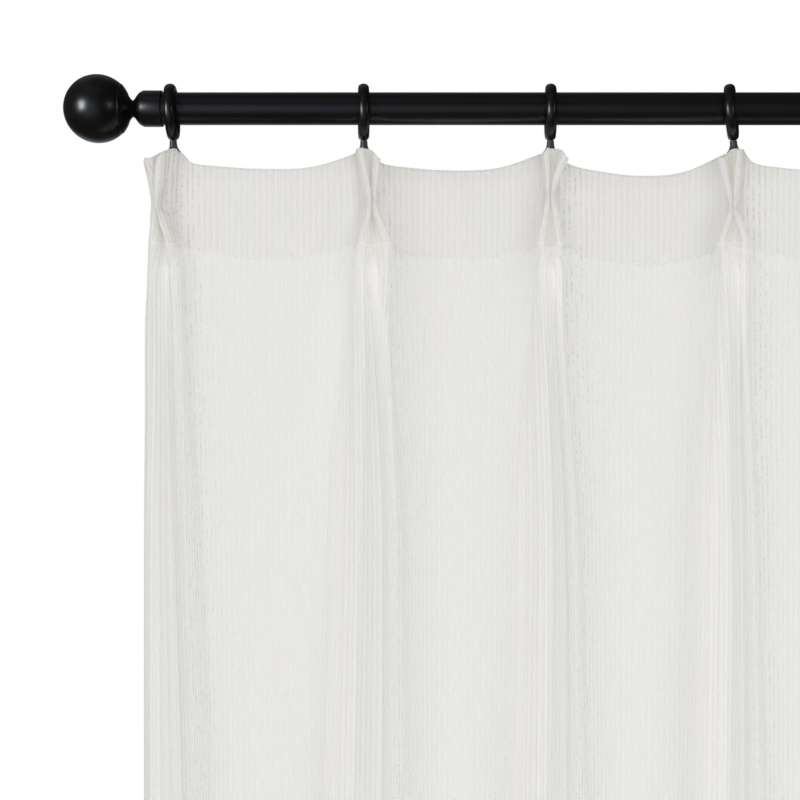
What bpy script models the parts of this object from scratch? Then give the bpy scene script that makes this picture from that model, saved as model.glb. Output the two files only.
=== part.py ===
"""A sheer voile curtain with pinch pleats, hung by rings from its rod.

Metres, +Z up. X runs along the rod, the curtain faces -Y, and the origin is on the rod's
axis at the middle of its length. The tables' rows are in millimetres.
"""
import math
from collections import namedtuple

import bmesh
import bpy
from mathutils import Matrix, Vector

MM = 0.001
GAP = 0.3 * MM                      # left between pieces that touch

# Rod and its end knobs
ROD_RADIUS = 14 * MM
ROD_BEYOND_RING = 26 * MM           # from the last ring to the rod's end
ROD_SIDES = 32
COLLAR_RADIUS = 15.6 * MM
COLLAR_LENGTH = 16 * MM
COLLAR_BEYOND_RING = 10 * MM        # from the last ring to the collar's mouth
SOCKET_DEPTH = 17 * MM
WAIST_RADIUS = 7.1 * MM
WAIST_HEIGHT = 25.6 * MM            # heights are measured from the collar's mouth
BALL_RADIUS = 29.4 * MM
BALL_HEIGHT = 56.3 * MM
RIM_HEIGHT = 35.5 * MM              # the edge between the ball and its domed back
SCREW_RADIUS = 1.9 * MM
SCREW_HEIGHT = 7 * MM
DOME = ((18.6, 33.2), (15, 31), (11.4, 29.4), (9, 27.8))  # the back's radii and heights
SHOULDER = ((10.7, 22.3), (13.2, 20.2), (14.6, 18.2))     # and those above the collar
KNOB_STEPS = 20
BALL_STEPS = 12
SCREW_SIDES = 10

# Rings, their screw eyes and the hooks
RING_BORE_RADIUS = 17.5 * MM
RING_HALF_WIDTH = 4.65 * MM         # along the rod
RING_HALF_DEPTH = 3.45 * MM
RING_HANG_GAP = 0.45 * MM
EYE_RADIUS = 5.7 * MM               # to the middle of the eye's wire
EYE_WIRE = 1.3 * MM
EYE_HEIGHT = -40.9 * MM
STEM_TOP_RADIUS = 3.1 * MM
STEM_FOOT_RADIUS = 4.6 * MM
STEM_SINK = 1.4 * MM                # how deep the stem's foot runs into the eye
STEM_DEPTH = 1.7 * MM               # half its depth at the foot, front to back
HOOK_WIRE = 0.9 * MM
HOOK_SHANK = 38 * MM
HOOK_TIP = 6 * MM
HOOK_TIP_OUT = 1 * MM               # how far the tip opens away from the eye
HOOK_BEND_STEPS = 5

# Cloth
CLOTH = 1 * MM
BAND = 1 * MM
BAND_DEPTH = 75 * MM
BAND_TOP_INSET = 0.8 * MM
EDGE_HEIGHT = -46 * MM              # the cloth's top edge beside a pleat
TIP_DROOP = 1 * MM                  # how much lower the top edge is at a finger's tip
HOOK_LIFT = 10.4 * MM               # how much higher it is at the hook
HOOK_LIFT_WIDTH = 9.5 * MM
HOOK_LIFT_REACH = 45 * MM
HOOK_LIFT_DEPTH = 60 * MM
ROOT = 8 * MM                       # half width of a pleat where it leaves the cloth
VALLEY = 2 * MM                     # half width of the groove between its two fingers
TRAIL = 10 * MM                     # from the right crest to that fold's foot, lower down
FINGER_ROOM = 0.45                  # the most of the way to its neighbour a finger fills
PERK_SHARES = (0.6, 1, 1, 0.5, 0)   # how the right finger's top rises, groove to foot
GROOVE = (0.62, 0.78)               # where the groove runs between the crests, lower down
SPAN_SHARES = (0.045, 0.25, 0.5, 0.75)   # points of the cloth between two pleats
DROPS = (0, 14, 28, 42, 58, 75, 105, 170, 280, 450, 750, 1150, 1550, 1980)

EYE_SEAT = EYE_HEIGHT - EYE_RADIUS  # the middle of the wire that the hook hangs on
CLOTH_Y = -(EYE_WIRE + GAP + 2 * HOOK_WIRE + GAP + BAND + GAP + CLOTH / 2)
BAND_SETBACK = CLOTH / 2 + GAP + BAND / 2

# How a pleat's two fingers change on the way down. reach is how far each stands forward,
# half its half thickness, valley how far forward the groove between them is, foot how much
# of its full width the fold's foot has, twist the share of the pleat's turn that is left,
# bow how far the cloth between pleats falls back, and sag how far it hangs lower there.
Level = namedtuple("Level", "name drop reach_left reach_right half_left half_right "
                            "valley foot twist bow sag")
LEVELS = (
    Level("top", 0, 20, 20, 3.0, 3.0, 0, 0, 1.0, 9, 8),
    Level("tack", 40, 22, 22, 2.2, 2.2, 0, 0, 1.0, 10, 9),
    Level("seam", 75, 24, 24, 3.2, 3.2, 3, 0, 1.0, 12, 11),
    Level("skirt", 98, 31, 26, 5.0, 5.0, 22, 0.2, 0.95, 13, 11),
    Level("body", 330, 42, 21, 9.0, 4.0, 18, 1, 0.8, 15, 10),
    Level("low", 600, 46, 18, 12.0, 6.0, 15, 1, 0.7, 18, 7),
    Level("hem", 1980, 53, 20, 15.0, 9.0, 17, 1, 0.5, 22, 0),
)

# One row a pleat, from the left: gap from the pleat before, the ring's turn about the
# vertical and its lean, the way the pleat points (to the right is positive), the drop to
# its tack, the room its fold's left foot has, how far its right finger's top stands up, how
# much more the cloth on its right sags, and at each level how far its left and right
# fingers lie to the right of its hook.
Pleat = namedtuple("Pleat", "gap yaw lean turn tack_drop room perk slack "
                            "top tack seam skirt body low hem")
PLEATS = (
    Pleat(0, 2, 2.8, -26, 38, 12, -3, 0,
          (-17, -10), (-18, -11.7), (-9, -1), (-7, 3), (-6, 16), (-8, 26), (-8, 30)),
    Pleat(164.5, 3, 0.5, 20, 39, 30, 0, -1.5,
          (0, 12), (4.5, 10.5), (0, 20), (1, 18), (-3, 27), (-12, 32), (-12, 30)),
    Pleat(161.5, -3.4, -0.2, -10, 33, 30, 0, 4,
          (-6.5, 11.5), (-7.1, -1.1), (-11.5, 4.5), (-9.5, 4.5), (-5.5, 17.5), (-11.5, 23.5),
          (-11.5, 25.5)),
    Pleat(160, -16.5, 4, -16, 43, 30, -2, 1,
          (-19.5, -3.5), (-12.7, -6.7), (-19.5, 2.5), (-17.5, 0.5), (-15.5, 10.5),
          (-20.5, 16.5), (-19.5, 18.5)),
    Pleat(159.5, 6, -2, 12, 38, 30, 1, 3,
          (-3, 10), (0, 6), (-6, 14), (-5, 12), (-5, 22), (-10, 26), (-12, 24)),
    Pleat(160, 5, 1, -8, 40, 30, 0, 1,
          (-9, 6), (-7, -1), (-13, 8), (-10, 7), (-9, 17), (-13, 24), (-10, 26)),
    Pleat(163, 3, -2, 6, 36, 30, 0, 0,
          (-6, 8), (-3, 3), (-10, 9), (-8, 8), (-6, 14), (-10, 18), (-12, 16)),
)

# Where the panel's two side edges hang at each level: how far beyond the last hook, and how
# far behind the pleats' roots.
Side = namedtuple("Side", "name drop left right back")
SIDES = (
    Side("top", 0, 25.6, 24, 0),
    Side("tack", 40, 18.6, 17, 0),
    Side("seam", 75, 20, 18, 1),
    Side("skirt", 120, 21.5, 24, 3),
    Side("body", 330, 23.5, 32, 7),
    Side("low", 600, 24.3, 34, 8),
    Side("hem", 1980, 24, 34, 10),
)

Finish = namedtuple("Finish", "name colour roughness metallic")
VOILE = Finish("white_voile", (0.83, 0.82, 0.80, 1), 0.85, 0)
STIFFENER = Finish("heading_stiffener", (0.78, 0.77, 0.74, 1), 0.9, 0)
BLACK_SATIN = Finish("black_satin_metal", (0.02, 0.02, 0.024, 1), 0.38, 0.8)
DARK_STEEL = Finish("dark_steel", (0.05, 0.05, 0.055, 1), 0.35, 0.9)
BRIGHT_WIRE = Finish("bright_wire", (0.6, 0.6, 0.58, 1), 0.3, 1)


def mix(start, end, share):
    return start + (end - start) * share


def hook_places():
    """X of every hook, with the rod's middle at zero."""
    places = [sum(pleat.gap for pleat in PLEATS[:count + 1]) * MM for count in range(len(PLEATS))]
    middle = (places[0] + places[-1]) / 2
    return [place - middle for place in places]


HOOK_X = hook_places()


# ------------------------------------------------------------------ the cloth's folds

def along(stops, values, at):
    """The value at a stop between the given ones, on a smooth line that never overshoots."""
    last = len(stops) - 2
    index = max(k for k in range(last + 1) if k == 0 or stops[k] <= at)
    secants = [(values[k + 1] - values[k]) / (stops[k + 1] - stops[k]) for k in range(last + 1)]

    def slope(k):
        before, after = secants[max(k - 1, 0)], secants[min(k, last)]
        return 2 * before * after / (before + after) if before * after > 0 else 0

    width = stops[index + 1] - stops[index]
    t = min(max((at - stops[index]) / width, 0), 1)
    rest = 1 - t
    return (values[index] * (1 + 2 * t) * rest ** 2 + values[index + 1] * (3 - 2 * t) * t ** 2
            + width * (slope(index) * t * rest ** 2 - slope(index + 1) * rest * t ** 2))


def level(pleat, column, drop):
    """A column of LEVELS at a drop, read along one pleat."""
    stops = [pleat.tack_drop if row.name == "tack" else row.drop for row in LEVELS]
    return along(stops, [getattr(row, column) for row in LEVELS], drop / MM)


def finger_place(pleat, side, drop):
    """How far right of the hook a finger's tip is: side 0 is the left finger, 1 the right."""
    stops = [pleat.tack_drop if row.name == "tack" else row.drop for row in LEVELS]
    return along(stops, [getattr(pleat, row.name)[side] for row in LEVELS], drop / MM) * MM


def side_place(column, drop):
    return along([row.drop for row in SIDES], [getattr(row, column) for row in SIDES],
                 drop / MM) * MM


def finger(left_root, right_root, tip, half):
    """A finger's two shoulders with its tip between them, square to the way it points."""
    pointing = (tip - (left_root + right_root) / 2).normalized()
    across = Vector((pointing.y, -pointing.x))
    shoulder = tip - pointing * half
    return [shoulder - across * half, tip, shoulder + across * half]


def pleat_plan(pleat, drop):
    """Twelve plan points of a pleat at a drop, left foot to right foot: along, forward."""
    at = {name: level(pleat, name, drop) for name in Level._fields[2:]}
    left_tip = Vector((finger_place(pleat, 0, drop), at["reach_left"] * MM))
    right_tip = Vector((finger_place(pleat, 1, drop), at["reach_right"] * MM))
    room = (right_tip.x - left_tip.x) * FINGER_ROOM
    halves = [min(at[name] * MM, room) for name in ("half_left", "half_right")]
    foot = at["foot"]
    valley = at["valley"] * MM
    left_foot = Vector((mix(-ROOT, left_tip.x - pleat.room * MM, foot), 0))
    right_foot = Vector((mix(ROOT, right_tip.x + TRAIL, foot), 0))
    groove = [mix(left_tip.x, right_tip.x, share) for share in GROOVE]
    left_valley = Vector((mix(-VALLEY, groove[0], foot), valley))
    right_valley = Vector((mix(VALLEY, groove[1], foot), valley))
    left = finger(left_foot, left_valley, left_tip, halves[0])
    right = finger(right_valley, right_foot, right_tip, halves[1])
    return ([left_foot, (left_foot + left[0]) / 2] + left + [left_valley, right_valley]
            + right + [(right[2] + right_foot) / 2, right_foot])


def top_lift(place, hook, drop):
    """How far the top of a pleat stands above the cloth beside it, at a plan point."""
    fade = max(0, 1 - drop / HOOK_LIFT_DEPTH) ** 2
    forward = CLOTH_Y - place.y
    spread = ((place.x - hook.x) / HOOK_LIFT_WIDTH) ** 4 + (forward / HOOK_LIFT_REACH) ** 2
    hump = HOOK_LIFT * math.exp(-spread)
    droop = TIP_DROOP * min(1, forward / (LEVELS[0].reach_left * MM))
    return (hump - droop) * fade


def raised(place, drop, sag=0):
    """A plan point at its height: the drop below the top edge, with the nearest hook's lift."""
    hook = Vector((min(HOOK_X, key=lambda hook_x: abs(hook_x - place.x)), CLOTH_Y))
    return Vector((*place, EDGE_HEIGHT - drop - sag + top_lift(place, hook, drop)))


def pleat_points(index, drop):
    """A pleat's points in space at a drop."""
    hook, pleat = Vector((HOOK_X[index], CLOTH_Y)), PLEATS[index]
    points = [raised(hook + Vector((point.x, -point.y)), drop) for point in pleat_plan(pleat, drop)]
    for share, point in zip(PERK_SHARES, points[-len(PERK_SHARES):]):
        point.z += share * pleat.perk * MM * max(0, 1 - drop / HOOK_LIFT_DEPTH) ** 2
    return points


def span_points(index, start, end, drop):
    """The cloth between a pleat and the next, from one's right foot to the other's left."""
    left, right = PLEATS[index], PLEATS[index + 1]
    twist, bow, sag = ((level(left, name, drop) + level(right, name, drop)) / 2
                       for name in ("twist", "bow", "sag"))
    sag += left.slack
    length = end.x - start.x
    rise, fall = (-math.tan(math.radians(pleat.turn)) * twist * length for pleat in (left, right))
    points = []
    for t in SPAN_SHARES:
        belly = 4 * t * (1 - t)
        forward = rise * t * (1 - t) ** 2 - fall * t ** 2 * (1 - t) - bow * MM * belly
        points.append(raised(start.lerp(end, t).xy + Vector((0, -forward)), drop, sag * MM * belly))
    return points


def edge_points(side, foot, drop):
    """A side edge of the panel and one point between it and the nearest pleat's foot."""
    outward, hook = (-1, HOOK_X[0]) if side == "left" else (1, HOOK_X[-1])
    edge = Vector((hook + outward * side_place(side, drop), CLOTH_Y + side_place("back", drop)))
    between = edge.lerp(foot.xy, 0.5) + Vector((0, side_place("back", drop) / 4))
    points = [raised(edge, drop), raised(between, drop)]
    return points if side == "left" else points[::-1]


def cloth_row(drop):
    """Every point of the cloth at one drop, from its left edge to its right edge."""
    pleats = [pleat_points(index, drop) for index in range(len(PLEATS))]
    row = edge_points("left", pleats[0][0], drop)
    for index, points in enumerate(pleats):
        row += points
        if index + 1 < len(pleats):
            row += span_points(index, points[-1], pleats[index + 1][0], drop)
    return row + edge_points("right", pleats[-1][-1], drop)


def set_back(row, distance):
    """The same row moved behind itself, square to its plan."""
    moved = []
    for index, here in enumerate(row):
        before = (here - row[index - 1]).xy if index else (row[1] - here).xy
        after = (row[index + 1] - here).xy if index + 1 < len(row) else before
        normals = [Vector((-step.y, step.x)).normalized() for step in (before, after)]
        mitre = (normals[0] + normals[1]) / (1 + normals[0].dot(normals[1]))
        moved.append(here + distance * mitre.to_3d())
    return moved


# ------------------------------------------------------------------ making objects

def material(finish):
    """The Principled material of a finish, made once."""
    made = bpy.data.materials.get(finish.name)
    if made:
        return made
    made = bpy.data.materials.new(finish.name)
    made.use_nodes = True
    shader = made.node_tree.nodes["Principled BSDF"]
    shader.inputs["Base Color"].default_value = finish.colour
    shader.inputs["Roughness"].default_value = finish.roughness
    shader.inputs["Metallic"].default_value = finish.metallic
    made.diffuse_color = finish.colour
    return made


def new_collection(name):
    made = bpy.data.collections.new(name)
    bpy.context.scene.collection.children.link(made)
    return made


def add(collection, name, data, finish=None):
    """An object of the given mesh or curve in a collection."""
    thing = bpy.data.objects.new(name, data)
    if finish and not data.materials:
        data.materials.append(material(finish))
    collection.objects.link(thing)
    return thing


def to_mesh(name, shape, smooth_angle=None):
    """A mesh from a bmesh, shaded smooth up to an angle in degrees where one is given."""
    data = bpy.data.meshes.new(name)
    shape.to_mesh(data)
    shape.free()
    if smooth_angle:
        data.shade_smooth()
        data.set_sharp_from_angle(angle=math.radians(smooth_angle))
    return data


def evaluated(thing):
    """A plain mesh of an object with its modifiers applied."""
    bpy.context.view_layer.update()
    return bpy.data.meshes.new_from_object(
        thing.evaluated_get(bpy.context.evaluated_depsgraph_get()))


def cylinder(name, radius, length, sides):
    """A capped cylinder about Z, centred."""
    shape = bmesh.new()
    bmesh.ops.create_cone(shape, cap_ends=True, segments=sides, radius1=radius, radius2=radius,
                          depth=length)
    return to_mesh(name, shape, 40)


def torus(name, radius, wire, steps, wire_steps):
    """A torus mesh about Y."""
    bpy.ops.mesh.primitive_torus_add(major_radius=radius, minor_radius=wire,
                                     major_segments=steps, minor_segments=wire_steps)
    thing = bpy.context.active_object
    data = thing.data
    data.name = name
    data.transform(Matrix.Rotation(math.radians(90), 4, "X"))
    data.shade_smooth()
    bpy.data.objects.remove(thing)
    return data


def sheet(collection, name, rows, thickness, finish):
    """A sheet of cloth lofted through rows of points and given its thickness."""
    shape = bmesh.new()
    grid = [[shape.verts.new(point) for point in row] for row in rows]
    for upper, lower in zip(grid, grid[1:]):
        for column in range(len(upper) - 1):
            shape.faces.new((upper[column], lower[column], lower[column + 1], upper[column + 1]))
    thing = add(collection, name, to_mesh(name, shape, 50), finish)
    shell = thing.modifiers.new("thickness", "SOLIDIFY")
    shell.thickness = thickness
    shell.offset = 0
    return thing


# ------------------------------------------------------------------ the pieces

def make_rod(collection):
    length = HOOK_X[-1] - HOOK_X[0] + 2 * ROD_BEYOND_RING
    rod = add(collection, "pole", cylinder("pole", ROD_RADIUS, length, ROD_SIDES), BLACK_SATIN)
    rod.rotation_euler.y = math.radians(90)


def knob_profile():
    """The knob's outline as radius and height, from the ball's top down to the socket."""
    drop = BALL_HEIGHT - RIM_HEIGHT
    sweep = math.acos(-drop / BALL_RADIUS)
    turns = [sweep * step / BALL_STEPS for step in range(BALL_STEPS + 1)]
    ball = [(BALL_RADIUS * math.sin(turn), BALL_HEIGHT + BALL_RADIUS * math.cos(turn))
            for turn in turns]
    back, shoulder = ([(radius * MM, height * MM) for radius, height in table]
                      for table in (DOME, SHOULDER))
    bore = ROD_RADIUS + GAP
    return ball + back + [(WAIST_RADIUS, WAIST_HEIGHT)] + shoulder + [
        (COLLAR_RADIUS, COLLAR_LENGTH), (COLLAR_RADIUS, 0), (bore, 0), (bore, SOCKET_DEPTH),
        (0, SOCKET_DEPTH)]


def knob_mesh(collection, cutters):
    """The knob about Z with its collar's mouth at zero, and the screw's hole cut through."""
    outline = bmesh.new()
    points = [outline.verts.new((radius, 0, height)) for radius, height in knob_profile()]
    for upper, lower in zip(points, points[1:]):
        outline.edges.new((upper, lower))
    turned = add(collection, "knob_blank", to_mesh("knob_blank", outline))
    turning = turned.modifiers.new("turning", "SCREW")
    turning.steps = turning.render_steps = KNOB_STEPS
    turning.use_merge_vertices = True
    turning.merge_threshold = 0.00001
    hole = add(cutters, "screw_hole",
               cylinder("screw_hole", SCREW_RADIUS + GAP, COLLAR_RADIUS, SCREW_SIDES))
    hole.matrix_world = screw_pose(COLLAR_RADIUS)
    hole.hide_render = True
    hole.display_type = "WIRE"
    cut = turned.modifiers.new("hole", "BOOLEAN")
    cut.object = hole
    data = evaluated(turned)
    data.name = "knob"
    data.shade_smooth()
    data.set_sharp_from_angle(angle=math.radians(35))
    bpy.data.objects.remove(turned)
    return data


def screw_pose(out):
    """The grub screw's place on the knob: its axis square to the collar, on its upper side."""
    return (Matrix.Translation((out, 0, SCREW_HEIGHT)) @ Matrix.Rotation(math.radians(90), 4, "Y"))


def make_knobs(collection, cutters):
    data = knob_mesh(collection, cutters)
    wall = COLLAR_RADIUS - ROD_RADIUS - GAP
    screw = cylinder("grub_screw", SCREW_RADIUS, wall, SCREW_SIDES)
    for side, hook, outward in (("left", HOOK_X[0], -1), ("right", HOOK_X[-1], 1)):
        mouth = Matrix.Translation((hook + outward * COLLAR_BEYOND_RING, 0, 0))
        turned = Matrix.Rotation(math.radians(90 * outward), 4, "Y")
        screw_up = Matrix.Rotation(math.radians(180 if outward > 0 else 0), 4, "Z")
        knob = add(collection, f"finial_{side}", data, BLACK_SATIN)
        knob.matrix_world = mouth @ turned @ screw_up
        bolt = add(collection, f"grub_screw_{side}", screw, DARK_STEEL)
        bolt.matrix_world = knob.matrix_world @ screw_pose(ROD_RADIUS + GAP + wall / 2)


def ring_pose(index):
    """How a ring and its eye lean and turn about the wire that the hook hangs on."""
    pleat = PLEATS[index]
    seat = Matrix.Translation((HOOK_X[index], 0, EYE_SEAT))
    return (seat @ Matrix.Rotation(math.radians(-pleat.lean), 4, "Y")
            @ Matrix.Rotation(math.radians(pleat.yaw), 4, "Z"))


def make_rings(collection):
    ring = torus("ring", RING_BORE_RADIUS + RING_HALF_DEPTH, RING_HALF_DEPTH, 20, 8)
    ring.transform(Matrix.Diagonal((1, RING_HALF_WIDTH / RING_HALF_DEPTH, 1, 1)))
    ring.transform(Matrix.Rotation(math.radians(90), 4, "Z"))
    ring_height = ROD_RADIUS + RING_HANG_GAP - RING_BORE_RADIUS
    ring.transform(Matrix.Translation((0, 0, ring_height - EYE_SEAT)))
    eye = eye_mesh(collection, ring_height - RING_BORE_RADIUS - 2 * RING_HALF_DEPTH - GAP)
    for index in range(len(PLEATS)):
        add(collection, f"ring_{index + 1}", ring, BLACK_SATIN).matrix_world = ring_pose(index)
        add(collection, f"eye_{index + 1}", eye, DARK_STEEL).matrix_world = ring_pose(index)


def eye_mesh(collection, stem_top):
    """A screw eye with its stem up to the ring, measured from the wire the hook hangs on."""
    loop = torus("eye_loop", EYE_RADIUS, EYE_WIRE, 14, 6)
    loop.transform(Matrix.Translation((0, 0, EYE_RADIUS)))
    stem_foot = EYE_HEIGHT + EYE_RADIUS + EYE_WIRE - STEM_SINK
    shape = bmesh.new()
    bmesh.ops.create_cone(shape, cap_ends=True, segments=8, radius1=STEM_FOOT_RADIUS,
                          radius2=STEM_TOP_RADIUS, depth=stem_top - stem_foot)
    middle = (stem_top + stem_foot) / 2 - EYE_SEAT
    bmesh.ops.scale(shape, vec=(1, STEM_DEPTH / STEM_FOOT_RADIUS, 1), verts=shape.verts)
    bmesh.ops.translate(shape, vec=(0, 0, middle), verts=shape.verts)
    whole = add(collection, "eye_blank", loop)
    stem = add(collection, "stem_blank", to_mesh("stem_blank", shape))
    joint = whole.modifiers.new("joint", "BOOLEAN")
    joint.operation = "UNION"
    joint.object = stem
    data = evaluated(whole)
    data.name = "eye"
    for blank in (whole, stem):
        bpy.data.objects.remove(blank)
    return data


def hook_route():
    """A hook's wire from behind the pleat, over the eye's wire and down behind it."""
    radius = EYE_WIRE + GAP + HOOK_WIRE
    turns = [math.pi * (1 - step / HOOK_BEND_STEPS) for step in range(HOOK_BEND_STEPS + 1)]
    bend = [Vector((0, radius * math.cos(turn), radius * math.sin(turn))) for turn in turns]
    shank = Vector((0, -radius, -HOOK_SHANK))
    tip = Vector((0, radius + HOOK_TIP_OUT, -HOOK_TIP))
    return [shank] + bend + [tip]


def make_hooks(collection):
    curve = bpy.data.curves.new("hook", "CURVE")
    curve.dimensions = "3D"
    curve.bevel_depth = HOOK_WIRE
    curve.bevel_resolution = 2
    curve.use_fill_caps = True
    spline = curve.splines.new("POLY")
    route = hook_route()
    spline.points.add(len(route) - 1)
    for point, place in zip(spline.points, route):
        point.co = (*place, 1)
    for index, hook_x in enumerate(HOOK_X):
        hook = add(collection, f"hook_{index + 1}", curve, BRIGHT_WIRE)
        hook.location = (hook_x, 0, EYE_SEAT)


def make_cloth(collection):
    sheet(collection, "panel", [cloth_row(drop * MM) for drop in DROPS], CLOTH, VOILE)
    inset = [max(drop * MM, BAND_TOP_INSET) for drop in DROPS if drop * MM <= BAND_DEPTH]
    rows = [set_back(cloth_row(drop), BAND_SETBACK) for drop in inset]
    sheet(collection, "heading_band", rows, BAND, STIFFENER)


def main():
    for thing in list(bpy.data.objects):
        bpy.data.objects.remove(thing)
    curtain = new_collection("sheer_voile_curtain")
    cutters = new_collection("cutters")
    make_rod(curtain)
    make_knobs(curtain, cutters)
    make_rings(curtain)
    make_hooks(curtain)
    make_cloth(curtain)


main()
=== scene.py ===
"""The looks of a sheer voile curtain, pinch pleated and hung by rings from its rod.

Metres, +Z up. X runs along the rod, the curtain faces -Y, and the origin is on the rod's
axis at the middle of its length. The folds' tables are in millimetres.
"""
import math
from collections import namedtuple

import bmesh
import bpy
import numpy as np
from bpy.props import FloatProperty, FloatVectorProperty, IntProperty, PointerProperty
from mathutils import Matrix, Vector


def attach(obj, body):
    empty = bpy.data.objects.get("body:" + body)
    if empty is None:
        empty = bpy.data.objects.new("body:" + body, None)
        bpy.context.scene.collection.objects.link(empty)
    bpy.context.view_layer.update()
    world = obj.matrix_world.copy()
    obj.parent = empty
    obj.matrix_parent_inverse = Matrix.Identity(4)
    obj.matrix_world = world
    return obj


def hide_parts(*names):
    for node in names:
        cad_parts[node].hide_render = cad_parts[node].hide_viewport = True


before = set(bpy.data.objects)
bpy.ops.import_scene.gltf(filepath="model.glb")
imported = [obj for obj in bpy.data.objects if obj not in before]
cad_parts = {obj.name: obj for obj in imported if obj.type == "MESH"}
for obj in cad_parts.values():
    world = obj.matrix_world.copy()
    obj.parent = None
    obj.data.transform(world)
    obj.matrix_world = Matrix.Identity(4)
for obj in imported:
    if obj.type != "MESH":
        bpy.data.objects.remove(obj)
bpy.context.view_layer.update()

bl_info = {
    "name": "Sheer curtain on its rod",
    "version": (1, 0, 0),
    "blender": (4, 5, 0),
    "location": "3D View > Sidebar > Curtain",
    "description": "Builds a pinch pleated voile curtain, its rod, knobs, rings and hooks",
    "category": "Object",
}

MM = 0.001
GAP = 0.3 * MM                      # left between pieces that touch
TINY = 1e-9                         # lengths below it count as none

# Rod and its end knobs
ROD_RADIUS = 14 * MM
ROD_BEYOND_RING = 26 * MM
COLLAR_RADIUS = 15.6 * MM
COLLAR_LENGTH = 16 * MM
COLLAR_BEYOND_RING = 10 * MM
SOCKET_DEPTH = 17 * MM
WAIST_RADIUS = 7.1 * MM
WAIST_HEIGHT = 25.6 * MM            # heights are measured from the collar's mouth
BALL_RADIUS = 29.4 * MM
BALL_HEIGHT = 56.3 * MM
RIM_HEIGHT = 35.5 * MM              # the edge between the ball and its domed back
DOME = ((18.6, 33.2), (15, 31), (11.4, 29.4), (9, 27.8))  # the back's radii and heights
SHOULDER = ((10.7, 22.3), (13.2, 20.2), (14.6, 18.2))     # and those above the collar
ROD_CHAMFER = 0.8 * MM
COLLAR_LIP = 0.4 * MM
RIM_FILLET = 0.5 * MM
RIM_PROUD = 0.1 * MM                # of the rim beyond the ball
RIM_TURN = (25, 30)                 # degrees the rim is rounded, before the ball's end and on
BALL_STOP = 1                       # degrees short of the rim where the ball's own steps end
SCREW_RADIUS = 1.9 * MM
SCREW_HEIGHT = 7 * MM
SCREW_LIP = 0.15 * MM

# Rings, their screw eyes and the hooks
RING_BORE_RADIUS = 17.5 * MM
RING_HALF_WIDTH = 4.65 * MM         # along the rod
RING_HALF_DEPTH = 3.45 * MM
RING_HANG_GAP = 0.45 * MM
EYE_RADIUS = 5.7 * MM
EYE_WIRE = 1.3 * MM
EYE_HEIGHT = -40.9 * MM
EYE_SEAT = EYE_HEIGHT - EYE_RADIUS  # the middle of the wire that the hook hangs on
STEM_TOP_RADIUS = 3.1 * MM
STEM_FOOT_RADIUS = 4.6 * MM
STEM_SINK = 1.4 * MM                # of the stem into the eye's wire
STEM_FLARE = 3.2                    # the power by which it widens towards its foot
STEM_FLATTENED = 4 * MM             # from the foot up, where it thins towards the eye's wire
STEM_FOOT_THICKNESS = 1.2           # there, in the wire's thicknesses
HOOK_WIRE = 0.9 * MM
HOOK_SHANK = 38 * MM
HOOK_TIP = 6 * MM
HOOK_TIP_OUT = 1 * MM
HOOK_TIP_CURVE = 1.6                # the power by which the tip bends out
HOOK_TIP_SHARES = (0.25, 0.5, 0.75, 1)

# Cloth
CLOTH = 1 * MM                      # its thickness, and the heading band's
BAND = 1 * MM
BAND_DEPTH = 75 * MM
BAND_TOP_INSET = 0.8 * MM
BAND_SETBACK = CLOTH / 2 + GAP + BAND / 2   # from the middle of the cloth to the band's
CLOTH_Y = -(EYE_WIRE + GAP + 2 * HOOK_WIRE + GAP + BAND + GAP + CLOTH / 2)
EDGE_HEIGHT = -46 * MM              # the top edge's, beside the pleats
TIP_DROOP = 1 * MM
HOOK_LIFT = 10.4 * MM               # how far a hook lifts the edge, and how far along the
HOOK_LIFT_WIDTH = 9.5 * MM          # rod, forward and down that reaches
HOOK_LIFT_REACH = 45 * MM
HOOK_LIFT_DEPTH = 60 * MM
ROOT = 8 * MM                       # at the top, half of a pleat's width at its feet
VALLEY = 2 * MM                     # and of the valley's between its fingers
TRAIL = 10 * MM                     # low down, its right foot past the right finger's tip
FINGER_ROOM = 0.45                  # a finger's greatest half width, in spacings of the tips
PERK_SHARES = (0.6, 1, 1, 0.5, 0)   # how much of its perk each of the last points takes
GROOVE = (0.62, 0.78)               # low down, the valley's place between the two tips
SPAN_SHARES = (0.045, 0.25, 0.5, 0.75)   # points of the cloth between two pleats
HEM_DROP = 1980 * MM

# How a pleat's two fingers change on the way down. For each: how far forward it reaches and
# its half width. Then how far forward the valley between them is, how loose the pleat's foot
# is and how much of its turn it keeps, from 0 to 1, and how far the cloth beside it bows back
# and sags.
Level = namedtuple("Level", "name drop reach_left reach_right half_left half_right "
                            "valley foot twist bow sag")
LEVELS = (
    Level("top", 0, 20, 20, 3.0, 3.0, 0, 0, 1.0, 9, 8),
    Level("tack", 40, 22, 22, 2.2, 2.2, 0, 0, 1.0, 10, 9),
    Level("seam", 75, 24, 24, 3.2, 3.2, 3, 0, 1.0, 12, 11),
    Level("skirt", 98, 31, 26, 5.0, 5.0, 22, 0.2, 0.95, 13, 11),
    Level("body", 330, 42, 21, 9.0, 4.0, 18, 1, 0.8, 15, 10),
    Level("low", 600, 46, 18, 12.0, 6.0, 15, 1, 0.7, 18, 7),
    Level("hem", 1980, 53, 20, 15.0, 9.0, 17, 1, 0.5, 22, 0),
)
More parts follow.
